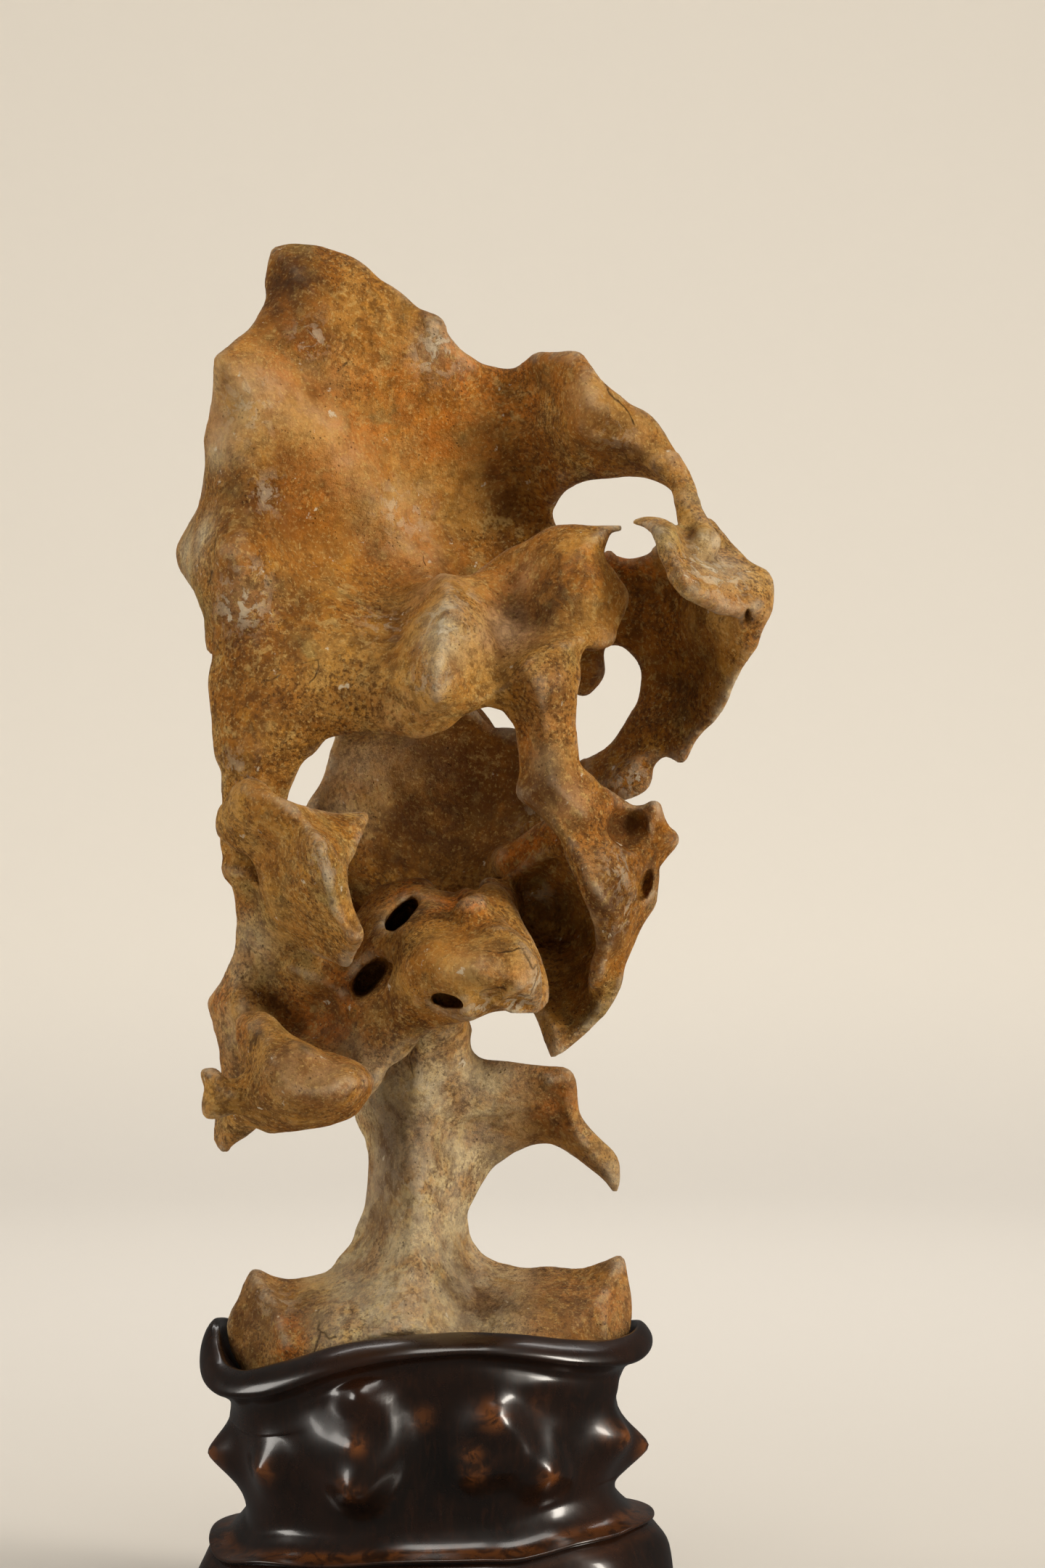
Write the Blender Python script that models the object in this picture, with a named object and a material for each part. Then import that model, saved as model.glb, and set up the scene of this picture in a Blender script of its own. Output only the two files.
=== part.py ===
"""A scholars rock, a tall eroded stone full of arches and hollows, standing in a carved hardwood stand.

The stone is not cut from a block. Its shapes are added up in a block of voxels as distances: plates,
branches, lumps and hollows, each blended into the last. The skin where the distance is zero becomes the mesh.
The two stand pieces are skins run round through rings. Everything is in mm here and is turned to metres at
the end. Depth runs away from the viewer along +Y."""
import bpy
import bmesh
import numpy as np
import openvdb

# Real sizes, metres
PIXEL_SIZE = 0.0003          # one picture pixel at the stone's middle plane
EYE_DISTANCE = 1.53          # from the eye to that plane
STAND_CENTRE_X = -0.0399     # the stand's middle, left of the picture's middle
RIM_HALF_WIDTH = 0.0933      # the rim's outer edge, from the stand's middle
SOCKET_FLOOR_Z = -0.247      # below eye level
STAND_BOTTOM_Z = -0.356      # below eye level
FIT_GAP = 0.0003             # between pieces that rest on each other
SOCKET_GAP = 0.0015          # between the stone's foot and the socket's wall
VOXEL_SIZE = 0.002
STONE_TRIANGLES = 5800
COLLAR_TRIANGLES = 2700
COLLAR_SIDES = 112
BASE_SIDES = 48

MM = 0.001
PIXEL = PIXEL_SIZE / MM
EYE = EYE_DISTANCE / MM
STAND_X = STAND_CENTRE_X / MM
SOCKET_FLOOR = SOCKET_FLOOR_Z / MM
STAND_BOTTOM = STAND_BOTTOM_Z / MM
FIT = FIT_GAP / MM
SEAM_MIDDLE = -308.0
OVAL = 0.86                  # 1 would be a plain ellipse, smaller is squarer

# The picture's middle, and the part of space that is filled with voxels
PICTURE_X, PICTURE_Y = 720.0, 1080.0
BLOCK_PX_X = (225, 1085)
BLOCK_PX_Y = (325, 1975)
BLOCK_DEPTH = (-120, 84)

# Heights round the stand in mm, as (degrees, height). 0 is its right end, 90 its back, 180 its left end
RIM_TOP = [(0, -222.3), (30, -225), (60, -221), (90, -224), (120, -221), (150, -225), (168, -222.5),
           (180, -222.5), (190, -229), (200, -235), (210, -237.3), (218, -237), (234, -232),
           (254, -223.6), (274, -219.6), (290, -220.4), (308, -223.6), (325, -225.1), (342, -224.2)]
RIM_LOW = [(0, -233), (30, -236), (60, -234), (90, -233), (120, -234), (150, -240), (168, -241), (180, -242),
           (195, -246), (209, -248), (227, -246), (238, -241.6), (251, -234.5), (265, -229), (278, -226.5),
           (290, -228), (306, -232.1), (323, -234.7), (340, -235)]
SEAM = [(0, -301.8), (30, -303), (60, -306), (90, -308), (120, -310), (150, -309), (170, -309), (182, -310.5),
        (203, -315.4), (226, -312.6), (247, -312), (264, -309.6), (280, -309), (289, -309.2), (298, -307),
        (307, -304.4), (324, -302.9), (333, -301.6), (345, -301.2)]


def curve_through(points, closed, steps=6):
    """A smooth curve through the points: the Catmull-Rom cubic, steps samples to a span."""
    p = np.asarray(points, float)
    count = len(p)
    out = []
    for i in range(count if closed else count - 1):
        if closed:
            a, b, c, d = p[i - 1], p[i], p[(i + 1) % count], p[(i + 2) % count]
        else:
            a, b, c, d = p[max(i - 1, 0)], p[i], p[i + 1], p[min(i + 2, count - 1)]
        t = np.linspace(0, 1, steps, endpoint=False)[:, None]
        bend = (2 * a - 5 * b + 4 * c - d) * t**2 + (3 * b - a - 3 * c + d) * t**3
        out.append(0.5 * (2 * b + (c - a) * t + bend))
    if not closed:
        out.append(p[-1:])
    return np.concatenate(out)


def line_distance_squared(x, z, line):
    """Squared distance in the picture plane from every (x, z) to the nearest piece of the line."""
    best = np.full(x.shape, 1e9)
    for (ax, az), (bx, bz) in zip(line[:-1], line[1:]):
        ex, ez = bx - ax, bz - az
        t = np.clip(((x - ax) * ex + (z - az) * ez) / (ex * ex + ez * ez + 1e-9), 0, 1)
        best = np.minimum(best, (x - ax - t * ex) ** 2 + (z - az - t * ez) ** 2)
    return best


def outline_distance(x, z, loop):
    """Distance to a closed outline, below zero inside it."""
    inside = np.zeros(x.shape, bool)
    for (ax, az), (bx, bz) in zip(loop, np.roll(loop, -1, 0)):
        if az != bz:
            crossing = ax + (z - az) / (bz - az) * (bx - ax)
            inside ^= ((az > z) != (bz > z)) & (x < crossing)
    far = np.sqrt(line_distance_squared(x, z, np.vstack([loop, loop[:1]])))
    return np.where(inside, -far, far)


def smooth_surface(points, values, x, z):
    """A smooth height over the plane through scattered values: w0 + w1 x + w2 z + sum of w r cubed."""
    scale = 100.0
    q = np.asarray(points, float) / scale
    count = len(q)
    apart = ((q[:, None] - q[None]) ** 2).sum(-1)
    system = np.zeros((count + 3, count + 3))
    system[:count, :count] = (apart + 1e-12) ** 1.5
    system[:count, count] = 1
    system[:count, count + 1:] = q
    system[count, :count] = 1
    system[count + 1:, :count] = q.T
    w = np.linalg.solve(system, np.concatenate([np.asarray(values, float), np.zeros(3)]))
    out = w[count] + w[count + 1] * x / scale + w[count + 2] * z / scale
    for i in range(count):
        out = out + w[i] * ((x / scale - q[i, 0]) ** 2 + (z / scale - q[i, 1]) ** 2 + 1e-12) ** 1.5
    return out


def blend_union(a, b, reach):
    """The nearer of two distances, with a fillet where both are nearly the same."""
    h = np.maximum(reach - np.abs(a - b), 0) / reach
    return np.minimum(a, b) - h * h * reach * 0.25


def blend_cut(a, b, reach):
    """What is inside both, with a rounded edge."""
    return -blend_union(-a, -b, reach)


def round_both(a, b, radius):
    """What is inside both, the edge between them rolled over with the radius."""
    u = np.maximum(a + radius, 0)
    v = np.maximum(b + radius, 0)
    return np.minimum(np.maximum(a, b), -radius) + np.sqrt(u * u + v * v)


def weights(coords, start, cell, count):
    """Smoothstep weights that spread lattice values along one axis."""
    u = np.clip((coords - start) / cell, 0, count - 1.001)
    i = u.astype(int)
    t = u - i
    t = t * t * (3 - 2 * t)
    w = np.zeros((len(coords), count), np.float32)
    rows = np.arange(len(coords))
    w[rows, i] = 1 - t
    w[rows, i + 1] = t
    return w


class Field:
    """A block of space cut into voxels. Each holds about how far it is from the stone's skin, in mm,
    below zero inside. Shapes are placed by where they are seen in the picture (pixels across and down) and by
    how far behind the picture's middle plane they lie (mm, below zero is nearer)."""

    def __init__(self, voxel):
        self.voxel = voxel
        (left, right), (top, bottom), (near, far) = BLOCK_PX_X, BLOCK_PX_Y, BLOCK_DEPTH
        self.x = np.arange((left - PICTURE_X) * PIXEL, (right - PICTURE_X) * PIXEL, voxel)
        self.z = np.arange((PICTURE_Y - bottom) * PIXEL, (PICTURE_Y - top) * PIXEL, voxel)
        self.y = np.arange(near, far, voxel)
        self.f = np.full((len(self.x), len(self.z), len(self.y)), 30.0, np.float32)
        self.X, self.Z = np.meshgrid(self.x, self.z, indexing="ij")

    @staticmethod
    def at(px, py):
        return (px - PICTURE_X) * PIXEL, (PICTURE_Y - py) * PIXEL

    def sheet(self, outline, relief, thick, edge=3.0, taper=14.0, blend=8.0, thick_points=None, crests=()):
        """A plate seen face on. relief: (px, py, depth of its face). crests: (line, height, width) ridges
        raised on the face. Half its thickness grows from edge at the outline to thick / 2 over taper."""
        loop = curve_through([self.at(*p) for p in outline], True)
        margin = 14.0
        low, high = loop.min(0) - margin, loop.max(0) + margin
        ix = np.where((self.x >= low[0]) & (self.x <= high[0]))[0]
        iz = np.where((self.z >= low[1]) & (self.z <= high[1]))[0]
        x, z = self.X[np.ix_(ix, iz)], self.Z[np.ix_(ix, iz)]
        flat = outline_distance(x, z, loop)
        front = smooth_surface([self.at(p[0], p[1]) for p in relief], [p[2] for p in relief], x, z)
        for line, height, width in crests:
            near = line_distance_squared(x, z, curve_through([self.at(*p) for p in line], False, 5))
            sharp = np.exp(-np.sqrt(near + 0.8) / width)
            soft = np.exp(-near / (2 * width * width))
            front = front - height * (sharp if width < 8 else soft)
        full = np.full(x.shape, float(thick))
        if thick_points is not None:
            places = [self.at(p[0], p[1]) for p in thick_points]
            full = smooth_surface(places, [p[2] for p in thick_points], x, z)
            full = np.clip(full, 6, None)
        half = edge + (full / 2 - edge) * (1 - np.exp(-np.clip(-flat, 0, None) / taper))
        middle = front + full / 2
        gx, gz = np.gradient(middle, self.voxel)
        slope = np.sqrt(1 + gx * gx + gz * gz)
        cols = np.where(flat < margin)
        i, j = ix[cols[0]], iz[cols[1]]
        h, s = (half / slope)[cols][:, None], slope[cols][:, None]
        slab = np.abs(self.y[None, :] - middle[cols][:, None]) / s - h
        shape = round_both(np.broadcast_to(flat[cols][:, None], slab.shape), slab, np.minimum(h, 8.0))
        self.f[i, j, :] = blend_union(self.f[i, j, :], shape.astype(np.float32), blend)

    def near(self, low, high):
        """The part of the block between two corners."""
        part = []
        for axis, a, b in zip((self.x, self.z, self.y), low, high):
            i = np.where((axis >= a) & (axis <= b))[0]
            part.append(slice(i[0], i[-1] + 1))
        return tuple(part)

    def ellipsoid(self, center, radii, turn):
        c = np.array([*self.at(center[0], center[1]), center[2]])
        part = self.near(c - max(radii) - 20, c + max(radii) + 20)
        x = self.x[part[0]][:, None, None] - c[0]
        z = self.z[part[1]][None, :, None] - c[1]
        y = self.y[part[2]][None, None, :] - c[2]
        a = np.radians(turn)
        across = x * np.cos(a) + z * np.sin(a)
        along = z * np.cos(a) - x * np.sin(a)
        p, q, r = across / radii[0], along / radii[1], y / radii[2]
        k = np.sqrt(p * p + q * q + r * r)
        steep = np.sqrt((p / radii[0]) ** 2 + (q / radii[1]) ** 2 + (r / radii[2]) ** 2) + 1e-9
        return part, (k * (k - 1) / steep).astype(np.float32)

    def lump(self, center, radii, turn=0.0, blend=8.0):
        """Adds an ellipsoid. turn is in degrees in the picture plane."""
        part, shape = self.ellipsoid(center, radii, turn)
        self.f[part] = blend_union(self.f[part], shape, blend)

    def scoop(self, center, radii, turn=0.0, blend=6.0):
        """Takes an ellipsoid away: a hollow, a pit or a hole."""
        part, shape = self.ellipsoid(center, radii, turn)
        self.f[part] = blend_cut(self.f[part], -shape, blend)

    def limb(self, points, blend=8.0):
        """Adds a round branch along points (px, py, depth, radius)."""
        p = curve_through([(*self.at(q[0], q[1]), q[2], q[3]) for q in points], False, 5)
        reach = p[:, 3].max() + 14
        part = self.near(p[:, :3].min(0) - reach, p[:, :3].max(0) + reach)
        x = self.x[part[0]][:, None, None]
        z = self.z[part[1]][None, :, None]
        y = self.y[part[2]][None, None, :]
        best = np.full(self.f[part].shape, 1e3, np.float32)
        for a, b in zip(p[:-1], p[1:]):
            d = b[:3] - a[:3]
            u, v, w = x - a[0], z - a[1], y - a[2]
            t = np.clip((u * d[0] + v * d[1] + w * d[2]) / (d @ d + 1e-9), 0, 1)
            far = np.sqrt((u - t * d[0]) ** 2 + (v - t * d[1]) ** 2 + (w - t * d[2]) ** 2)
            best = np.minimum(best, far - a[3] - t * (b[3] - a[3]))
        self.f[part] = blend_union(self.f[part], best, blend)

    def ripple(self, cell, height, seed):
        """Weathering: smooth random swells about cell mm apart."""
        counts = [int(span / cell) + 3 for span in (300, 540, 240)]
        lattice = np.random.default_rng(seed).uniform(-1, 1, counts).astype(np.float32)
        wx = weights(self.x, -160, cell, counts[0])
        wz = weights(self.z, -290, cell, counts[1])
        wy = weights(self.y, -135, cell, counts[2])
        swell = np.tensordot(wx, lattice, (1, 0))
        swell = np.tensordot(swell, wz, (1, 1))
        swell = np.tensordot(swell, wy, (1, 1))
        self.f += height * swell


def inner_bowl(stone):
    stone.sheet([(461, 1019), (450, 1060), (434, 1100), (420, 1150), (400, 1200), (385, 1250), (400, 1300),
                 (450, 1325), (500, 1330), (560, 1310), (640, 1280), (700, 1250), (760, 1215), (795, 1150),
                 (790, 1080), (760, 1035), (712, 1007), (682, 1003), (665, 990), (648, 972), (600, 945),
                 (540, 930), (490, 950)],
                [(461, 1019, 10), (540, 960, 6), (648, 980, 22), (700, 1007, 24), (434, 1100, 12),
                 (520, 1080, 30), (600, 1100, 40), (700, 1080, 34), (780, 1100, 20), (520, 1180, 26),
                 (600, 1190, 34), (700, 1180, 28), (760, 1190, 12), (450, 1200, 4), (400, 1260, -18),
                 (470, 1300, -14), (560, 1280, 4), (640, 1260, 14)], thick=18, edge=3.5, taper=12,
                crests=[([(461, 1019), (445, 1070), (425, 1140)], 5, 6)])


def lower_bowl(stone):
    stone.sheet([(669, 1226), (691, 1222), (705, 1209), (722, 1193), (742, 1180), (764, 1173), (786, 1182),
                 (812, 1202), (840, 1250), (850, 1326), (851, 1351), (840, 1377), (817, 1407), (787, 1438),
                 (766, 1454), (758, 1452), (748, 1417), (733, 1389), (710, 1360), (685, 1310)],
                [(680, 1240, 4), (691, 1222, 0), (742, 1180, -8), (764, 1173, -12), (790, 1184, -20),
                 (720, 1225, 6), (770, 1225, 4), (750, 1290, 12), (700, 1310, -6), (800, 1280, 0),
                 (740, 1370, -22), (790, 1360, -20), (840, 1340, -36), (764, 1445, -36), (820, 1400, -40),
                 (830, 1260, -16), (775, 1400, -30)], thick=17, edge=2.5, taper=12,
                crests=[([(740, 1385), (762, 1415), (768, 1450)], 3, 4), ([(850, 1330), (820, 1400),
                        (775, 1445)], 4, 5)])


def far_branch(stone):
    stone.sheet([(800, 1052), (812, 1045), (837, 1030), (860, 1004), (877, 970), (883, 935), (877, 910),
                 (860, 892), (837, 887), (810, 880), (800, 840), (815, 790), (837, 761), (847, 767),
                 (862, 772), (878, 771), (893, 765), (907, 750), (930, 740), (975, 740), (1004, 758),
                 (1032, 784), (1050, 799), (1055, 817), (1052, 851), (1041, 886), (1032, 901), (1012, 941),
                 (992, 981), (961, 1013), (950, 1032), (941, 1048), (923, 1041), (909, 1044), (897, 1059),
                 (892, 1082), (872, 1095), (849, 1097), (825, 1085)],
                [(837, 765, -6), (880, 800, 4), (850, 850, 6), (900, 850, 4), (930, 850, -6),
                 (960, 860, -24), (1000, 860, -42), (1040, 850, -50), (1040, 815, -44), (1020, 900, -44),
                 (1000, 940, -34), (950, 950, -8), (900, 980, 0), (940, 1030, -14), (870, 1060, -2),
                 (870, 1085, -8), (820, 1060, 8), (975, 1000, -24), (907, 755, -14), (920, 900, -2),
                 (960, 910, -14)], thick=16, edge=2.5, taper=10,
                crests=[([(830, 1085), (865, 1062), (885, 1045), (900, 1040)], 4, 4), ([(1040, 840),
                        (1010, 890), (985, 950), (960, 1010)], 3, 6)])


def neck_and_foot(stone):
    stone.sheet([(520, 1430), (560, 1385), (610, 1385), (626, 1417), (634, 1440), (659, 1456), (690, 1462),
                 (741, 1468), (776, 1472), (790, 1484), (794, 1514), (802, 1540), (820, 1565), (843, 1586),
                 (853, 1606), (853, 1635), (846, 1642), (833, 1627), (812, 1609), (792, 1593), (761, 1578),
                 (731, 1580), (690, 1596), (664, 1621), (647, 1650), (641, 1670), (644, 1690), (656, 1713),
                 (680, 1734), (715, 1747), (761, 1751), (802, 1751), (833, 1741), (856, 1733), (863, 1757),
                 (868, 1783), (869, 1815), (864, 1900), (850, 1960), (400, 1960), (340, 1920), (318, 1870),
                 (315, 1849), (315, 1823), (328, 1793), (338, 1767), (350, 1750), (373, 1760), (404, 1764),
                 (445, 1755), (470, 1733), (491, 1701), (506, 1660), (511, 1614), (506, 1568), (491, 1528),
                 (495, 1480)],
                [(570, 1400, -14), (560, 1500, -17), (565, 1600, -17), (515, 1560, 0), (640, 1560, -4),
                 (600, 1700, -22), (600, 1800, -34), (500, 1700, -8), (450, 1800, -34), (450, 1900, -46),
                 (760, 1800, -28), (760, 1900, -44), (600, 1900, -48), (345, 1770, -12), (330, 1900, -26),
                 (850, 1900, -24), (850, 1755, -12), (720, 1500, -14), (780, 1490, -18), (785, 1550, -10),
                 (845, 1625, -8), (660, 1530, -8), (700, 1760, -12), (740, 1560, -4), (395, 1790, -22),
                 (365, 1840, -24), (560, 1760, -30)], thick=34, edge=4, taper=12,
                crests=[([(600, 1430), (565, 1500), (552, 1600), (560, 1680), (562, 1760),
                        (556, 1850)], 6, 10), ([(636, 1720), (654, 1780), (656, 1850)], -5, 9),
                        ([(705, 1765), (725, 1850)], 4, 9), ([(760, 1485), (790, 1490), (786, 1530),
                        (800, 1570), (840, 1625)], 4, 6), ([(350, 1758), (378, 1798), (392, 1850)], 6, 5),
                        ([(855, 1745), (835, 1790), (835, 1850)], 5, 6)],
                thick_points=[(570, 1400, 34), (570, 1550, 36), (600, 1680, 44), (600, 1800, 68),
                              (450, 1850, 72), (760, 1850, 66), (340, 1780, 30), (860, 1750, 26),
                              (330, 1940, 44), (860, 1940, 40), (600, 1940, 92), (720, 1520, 26),
                              (785, 1500, 24), (845, 1620, 16)])


def upper_wall(stone):
    stone.sheet([(375, 349), (385, 342), (421, 339), (453, 346), (487, 360), (521, 386), (556, 409),
                 (590, 429), (610, 441), (619, 464), (636, 487), (671, 507), (705, 508), (728, 498),
                 (745, 489), (791, 487), (808, 498), (829, 524), (860, 553), (897, 578), (918, 610),
                 (932, 639), (946, 667), (958, 705), (978, 728), (970, 745), (945, 735), (940, 712),
                 (938, 693), (926, 673), (900, 659), (866, 654), (837, 659), (797, 664), (774, 676),
                 (760, 696), (757, 715), (765, 760), (750, 830), (700, 900), (640, 960), (600, 1000),
                 (545, 1010), (487, 1013), (452, 1017), (430, 1036), (412, 1056), (398, 1090), (385, 1150),
                 (370, 1220), (340, 1240), (320, 1215), (312, 1193), (308, 1150), (306, 1096), (303, 1067),
                 (295, 1039), (292, 987), (286, 947), (289, 918), (298, 878), (293, 855), (274, 820),
                 (253, 782), (246, 760), (253, 741), (269, 711), (275, 694), (283, 644), (286, 598),
                 (295, 547), (298, 501), (303, 489), (338, 464), (355, 441), (366, 415), (372, 380)],
                [(385, 350, -2), (430, 350, -6), (400, 430, -16), (470, 420, -10), (560, 430, -6),
                 (310, 490, -26), (297, 600, -24), (310, 620, -30), (300, 750, -40), (252, 762, -4),
                 (275, 700, -14), (320, 900, -48), (310, 1000, -50), (310, 1150, -48), (370, 1180, -42),
                 (400, 1050, -52), (350, 540, -24), (440, 560, -12), (540, 560, 0), (640, 560, 4),
                 (700, 560, 6), (380, 640, -30), (450, 650, -14), (400, 720, -24), (480, 720, -6),
                 (540, 780, 2), (600, 740, 14), (660, 700, 20), (720, 700, 22), (560, 850, -28),
                 (400, 850, -42), (480, 850, -38), (450, 950, -54), (520, 950, -56), (600, 960, -60),
                 (680, 850, -10), (640, 790, 6), (750, 780, 14), (775, 540, -14), (850, 575, -26),
                 (800, 590, -22), (745, 610, 4), (830, 630, -12), (890, 620, -18), (935, 660, -16),
                 (955, 715, -24), (850, 650, -10), (770, 670, 4), (620, 470, -6), (690, 530, 6),
                 (745, 500, -4), (740, 560, 4)], thick=30, edge=3.5, taper=16,
                crests=[([(405, 345), (430, 410), (425, 460)], 4, 8), ([(300, 490), (330, 520), (430, 590),
                        (500, 660), (560, 760)], 9, 9), ([(300, 500), (292, 600), (300, 700), (302, 770),
                        (298, 870)], 5, 6), ([(600, 440), (620, 480), (650, 505)], 3, 6), ([(760, 495),
                        (800, 530), (860, 580), (915, 640)], 5, 8), ([(775, 655), (830, 640), (900, 640),
                        (935, 670)], 4, 5)])


def back_wall(stone):
    stone.sheet([(320, 1195), (322, 1218), (328, 1264), (328, 1295), (322, 1320), (310, 1346), (296, 1369),
                 (289, 1384), (297, 1412), (304, 1443), (307, 1473), (315, 1520), (360, 1540), (430, 1520),
                 (500, 1480), (560, 1440), (600, 1400), (590, 1330), (540, 1290), (480, 1270), (420, 1240),
                 (370, 1190)],
                [(295, 1385, -22), (325, 1385, -36), (335, 1300, -34), (330, 1230, -44), (380, 1250, -42),
                 (420, 1320, -42), (370, 1370, -30), (430, 1350, -42), (450, 1420, -38), (400, 1440, -34),
                 (520, 1400, -52), (500, 1300, -34), (560, 1340, -46), (560, 1430, -56), (310, 1450, -30),
                 (400, 1500, -40), (480, 1490, -54), (440, 1385, -34)], thick=22, edge=3, taper=12,
                crests=[([(400, 1335), (440, 1345), (475, 1370)], 3, 4), ([(295, 1390), (320, 1370),
                        (328, 1310)], 3, 5)])


def little_bridge(stone):
    stone.sheet([(470, 1345), (476, 1300), (494, 1264), (520, 1238), (552, 1224), (586, 1216), (598, 1227),
                 (615, 1231), (630, 1233), (642, 1229), (652, 1238), (655, 1250), (650, 1275), (600, 1300),
                 (550, 1320), (520, 1345)],
                [(485, 1320, -38), (510, 1270, -30), (555, 1235, -26), (586, 1222, -24), (625, 1245, -40),
                 (647, 1240, -46), (600, 1262, -56), (555, 1290, -62), (520, 1320, -50)], thick=14, edge=3,
                taper=6, blend=6,
                crests=[([(505, 1270), (545, 1236), (586, 1222), (600, 1262)], 2.5, 3)])
    # the orange bridge from the inner bowl to the lobe
    stone.sheet([(688, 1181), (702, 1166), (724, 1149), (746, 1133), (770, 1126), (808, 1140), (808, 1182),
                 (774, 1174), (746, 1185), (722, 1196), (700, 1208), (690, 1203)],
                [(692, 1192, 10), (722, 1168, 0), (746, 1152, -6), (775, 1148, -14), (805, 1158, -26),
                 (700, 1180, 7)], thick=13, edge=4, taper=6, blend=5)
    stone.limb([(702, 1186, 14, 5), (696, 1190, 30, 7)], blend=5)
    # rubble behind the hole in the saddle
    stone.lump((556, 1258, -8), (15, 13, 13), blend=6)


def tongue_hump(stone):
    stone.sheet([(628, 1272), (650, 1254), (664, 1241), (672, 1226), (680, 1226), (692, 1234), (710, 1257),
                 (729, 1290), (743, 1317), (752, 1345), (754, 1380), (735, 1395), (690, 1385), (640, 1330)],
                [(640, 1270, -60), (664, 1245, -48), (676, 1228, -42), (710, 1262, -52), (740, 1320, -60),
                 (748, 1370, -64), (680, 1300, -70)], thick=14, edge=2.5, taper=6, blend=4)


def tongue(stone):
    stone.sheet([(470, 1400), (520, 1380), (545, 1300), (552, 1281), (567, 1271), (598, 1267), (632, 1267),
                 (665, 1262), (690, 1268), (703, 1279), (725, 1298), (735, 1317), (740, 1334), (746, 1369),
                 (743, 1384), (731, 1389), (710, 1389), (683, 1390), (657, 1400), (640, 1405), (609, 1412),
                 (582, 1422), (570, 1438), (556, 1452), (535, 1472), (518, 1500), (490, 1520), (450, 1500)],
                [(552, 1285, -66), (600, 1280, -74), (650, 1285, -80), (700, 1288, -86), (732, 1320, -94),
                 (740, 1378, -84), (690, 1385, -84), (680, 1340, -100), (620, 1330, -92), (560, 1340, -76),
                 (600, 1400, -72), (650, 1398, -84), (545, 1400, -60), (500, 1440, -50), (480, 1490, -56),
                 (525, 1475, -58), (640, 1370, -90)], thick=28, edge=4, taper=7, blend=4,
                crests=[([(648, 1400), (690, 1376), (720, 1356), (733, 1335), (727, 1312), (714, 1293),
                        (698, 1281), (672, 1276)], 8, 4), ([(641, 1378), (648, 1401)], 4, 3), ([(690, 1320),
                        (680, 1350)], -3, 12), ([(552, 1285), (560, 1330), (575, 1380)], 4, 6),
                        ([(620, 1410), (560, 1440), (515, 1495)], 3, 5)])


def front_arch(stone):
    stone.sheet([(520, 900), (560, 840), (590, 808), (604, 796), (619, 795), (640, 795), (659, 788),
                 (700, 759), (728, 742), (760, 727), (790, 725), (820, 726), (852, 728), (841, 733),
                 (837, 744), (835, 762), (838, 775), (850, 793), (862, 811), (864, 827), (859, 848),
                 (850, 866), (838, 882), (820, 886), (807, 891), (797, 912), (791, 958), (791, 1010),
                 (797, 1050), (815, 1072), (831, 1090), (866, 1108), (885, 1109), (898, 1103), (909, 1106),
                 (914, 1122), (920, 1140), (931, 1154), (926, 1168), (915, 1182), (906, 1199), (908, 1240),
                 (897, 1260), (872, 1291), (850, 1322), (835, 1350), (815, 1350), (822, 1300), (815, 1264),
                 (800, 1222), (787, 1185), (774, 1153), (740, 1119), (717, 1100), (713, 1085), (717, 1060),
                 (712, 1010), (700, 985), (682, 974), (654, 973), (625, 981), (600, 992), (560, 1000),
                 (500, 960)],
                [(617, 800, -40), (612, 850, -58), (604, 905, -70), (600, 960, -70), (560, 860, -34),
                 (530, 900, -42), (545, 950, -54), (580, 850, -44), (650, 880, -58), (665, 830, -44),
                 (700, 800, -32), (740, 745, -34), (780, 740, -42), (760, 800, -44), (820, 760, -48),
                 (855, 830, -44), (720, 870, -44), (790, 870, -56), (680, 940, -62), (740, 920, -66),
                 (750, 1000, -66), (755, 1060, -66), (740, 1095, -62), (800, 1110, -66), (870, 1140, -48),
                 (905, 1115, -52), (928, 1156, -46), (840, 1190, -66), (800, 1190, -70), (830, 1260, -66),
                 (842, 1310, -54), (895, 1220, -48), (870, 1270, -48), (846, 729, -46)], thick=28, edge=4,
                taper=10, blend=18,
                crests=[([(619, 800), (614, 850), (603, 910), (600, 960)], 9, 6), ([(722, 1095),
                        (756, 1125), (784, 1163), (806, 1200), (828, 1235), (850, 1262),
                        (846, 1300)], 6, 5), ([(905, 1110), (925, 1155)], 4, 4), ([(872, 1110), (890, 1120),
                        (897, 1142)], 4, 4), ([(640, 975), (690, 950), (740, 905), (800, 885)], 4, 7),
                        ([(752, 1000), (748, 940)], 3, 6), ([(745, 745), (800, 770), (850, 830)], 4, 8)])


def right_fin(stone):
    stone.sheet([(872, 720), (882, 714), (893, 711), (911, 713), (936, 724), (975, 733), (1004, 756),
                 (1032, 782), (1050, 797), (1055, 817), (1052, 840), (1040, 846), (1010, 846), (985, 840),
                 (950, 826), (936, 815), (924, 799), (921, 784), (911, 762), (905, 744), (893, 729)],
                [(875, 721, -52), (920, 730, -58), (930, 780, -66), (955, 800, -68), (985, 825, -66),
                 (1045, 830, -56), (1000, 770, -48), (960, 745, -42), (1020, 840, -60)], thick=20, edge=3,
                taper=8, blend=10,
                crests=[([(915, 745), (935, 785), (965, 818), (1000, 838), (1030, 840),
                        (1050, 828)], 6, 4)])


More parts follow.
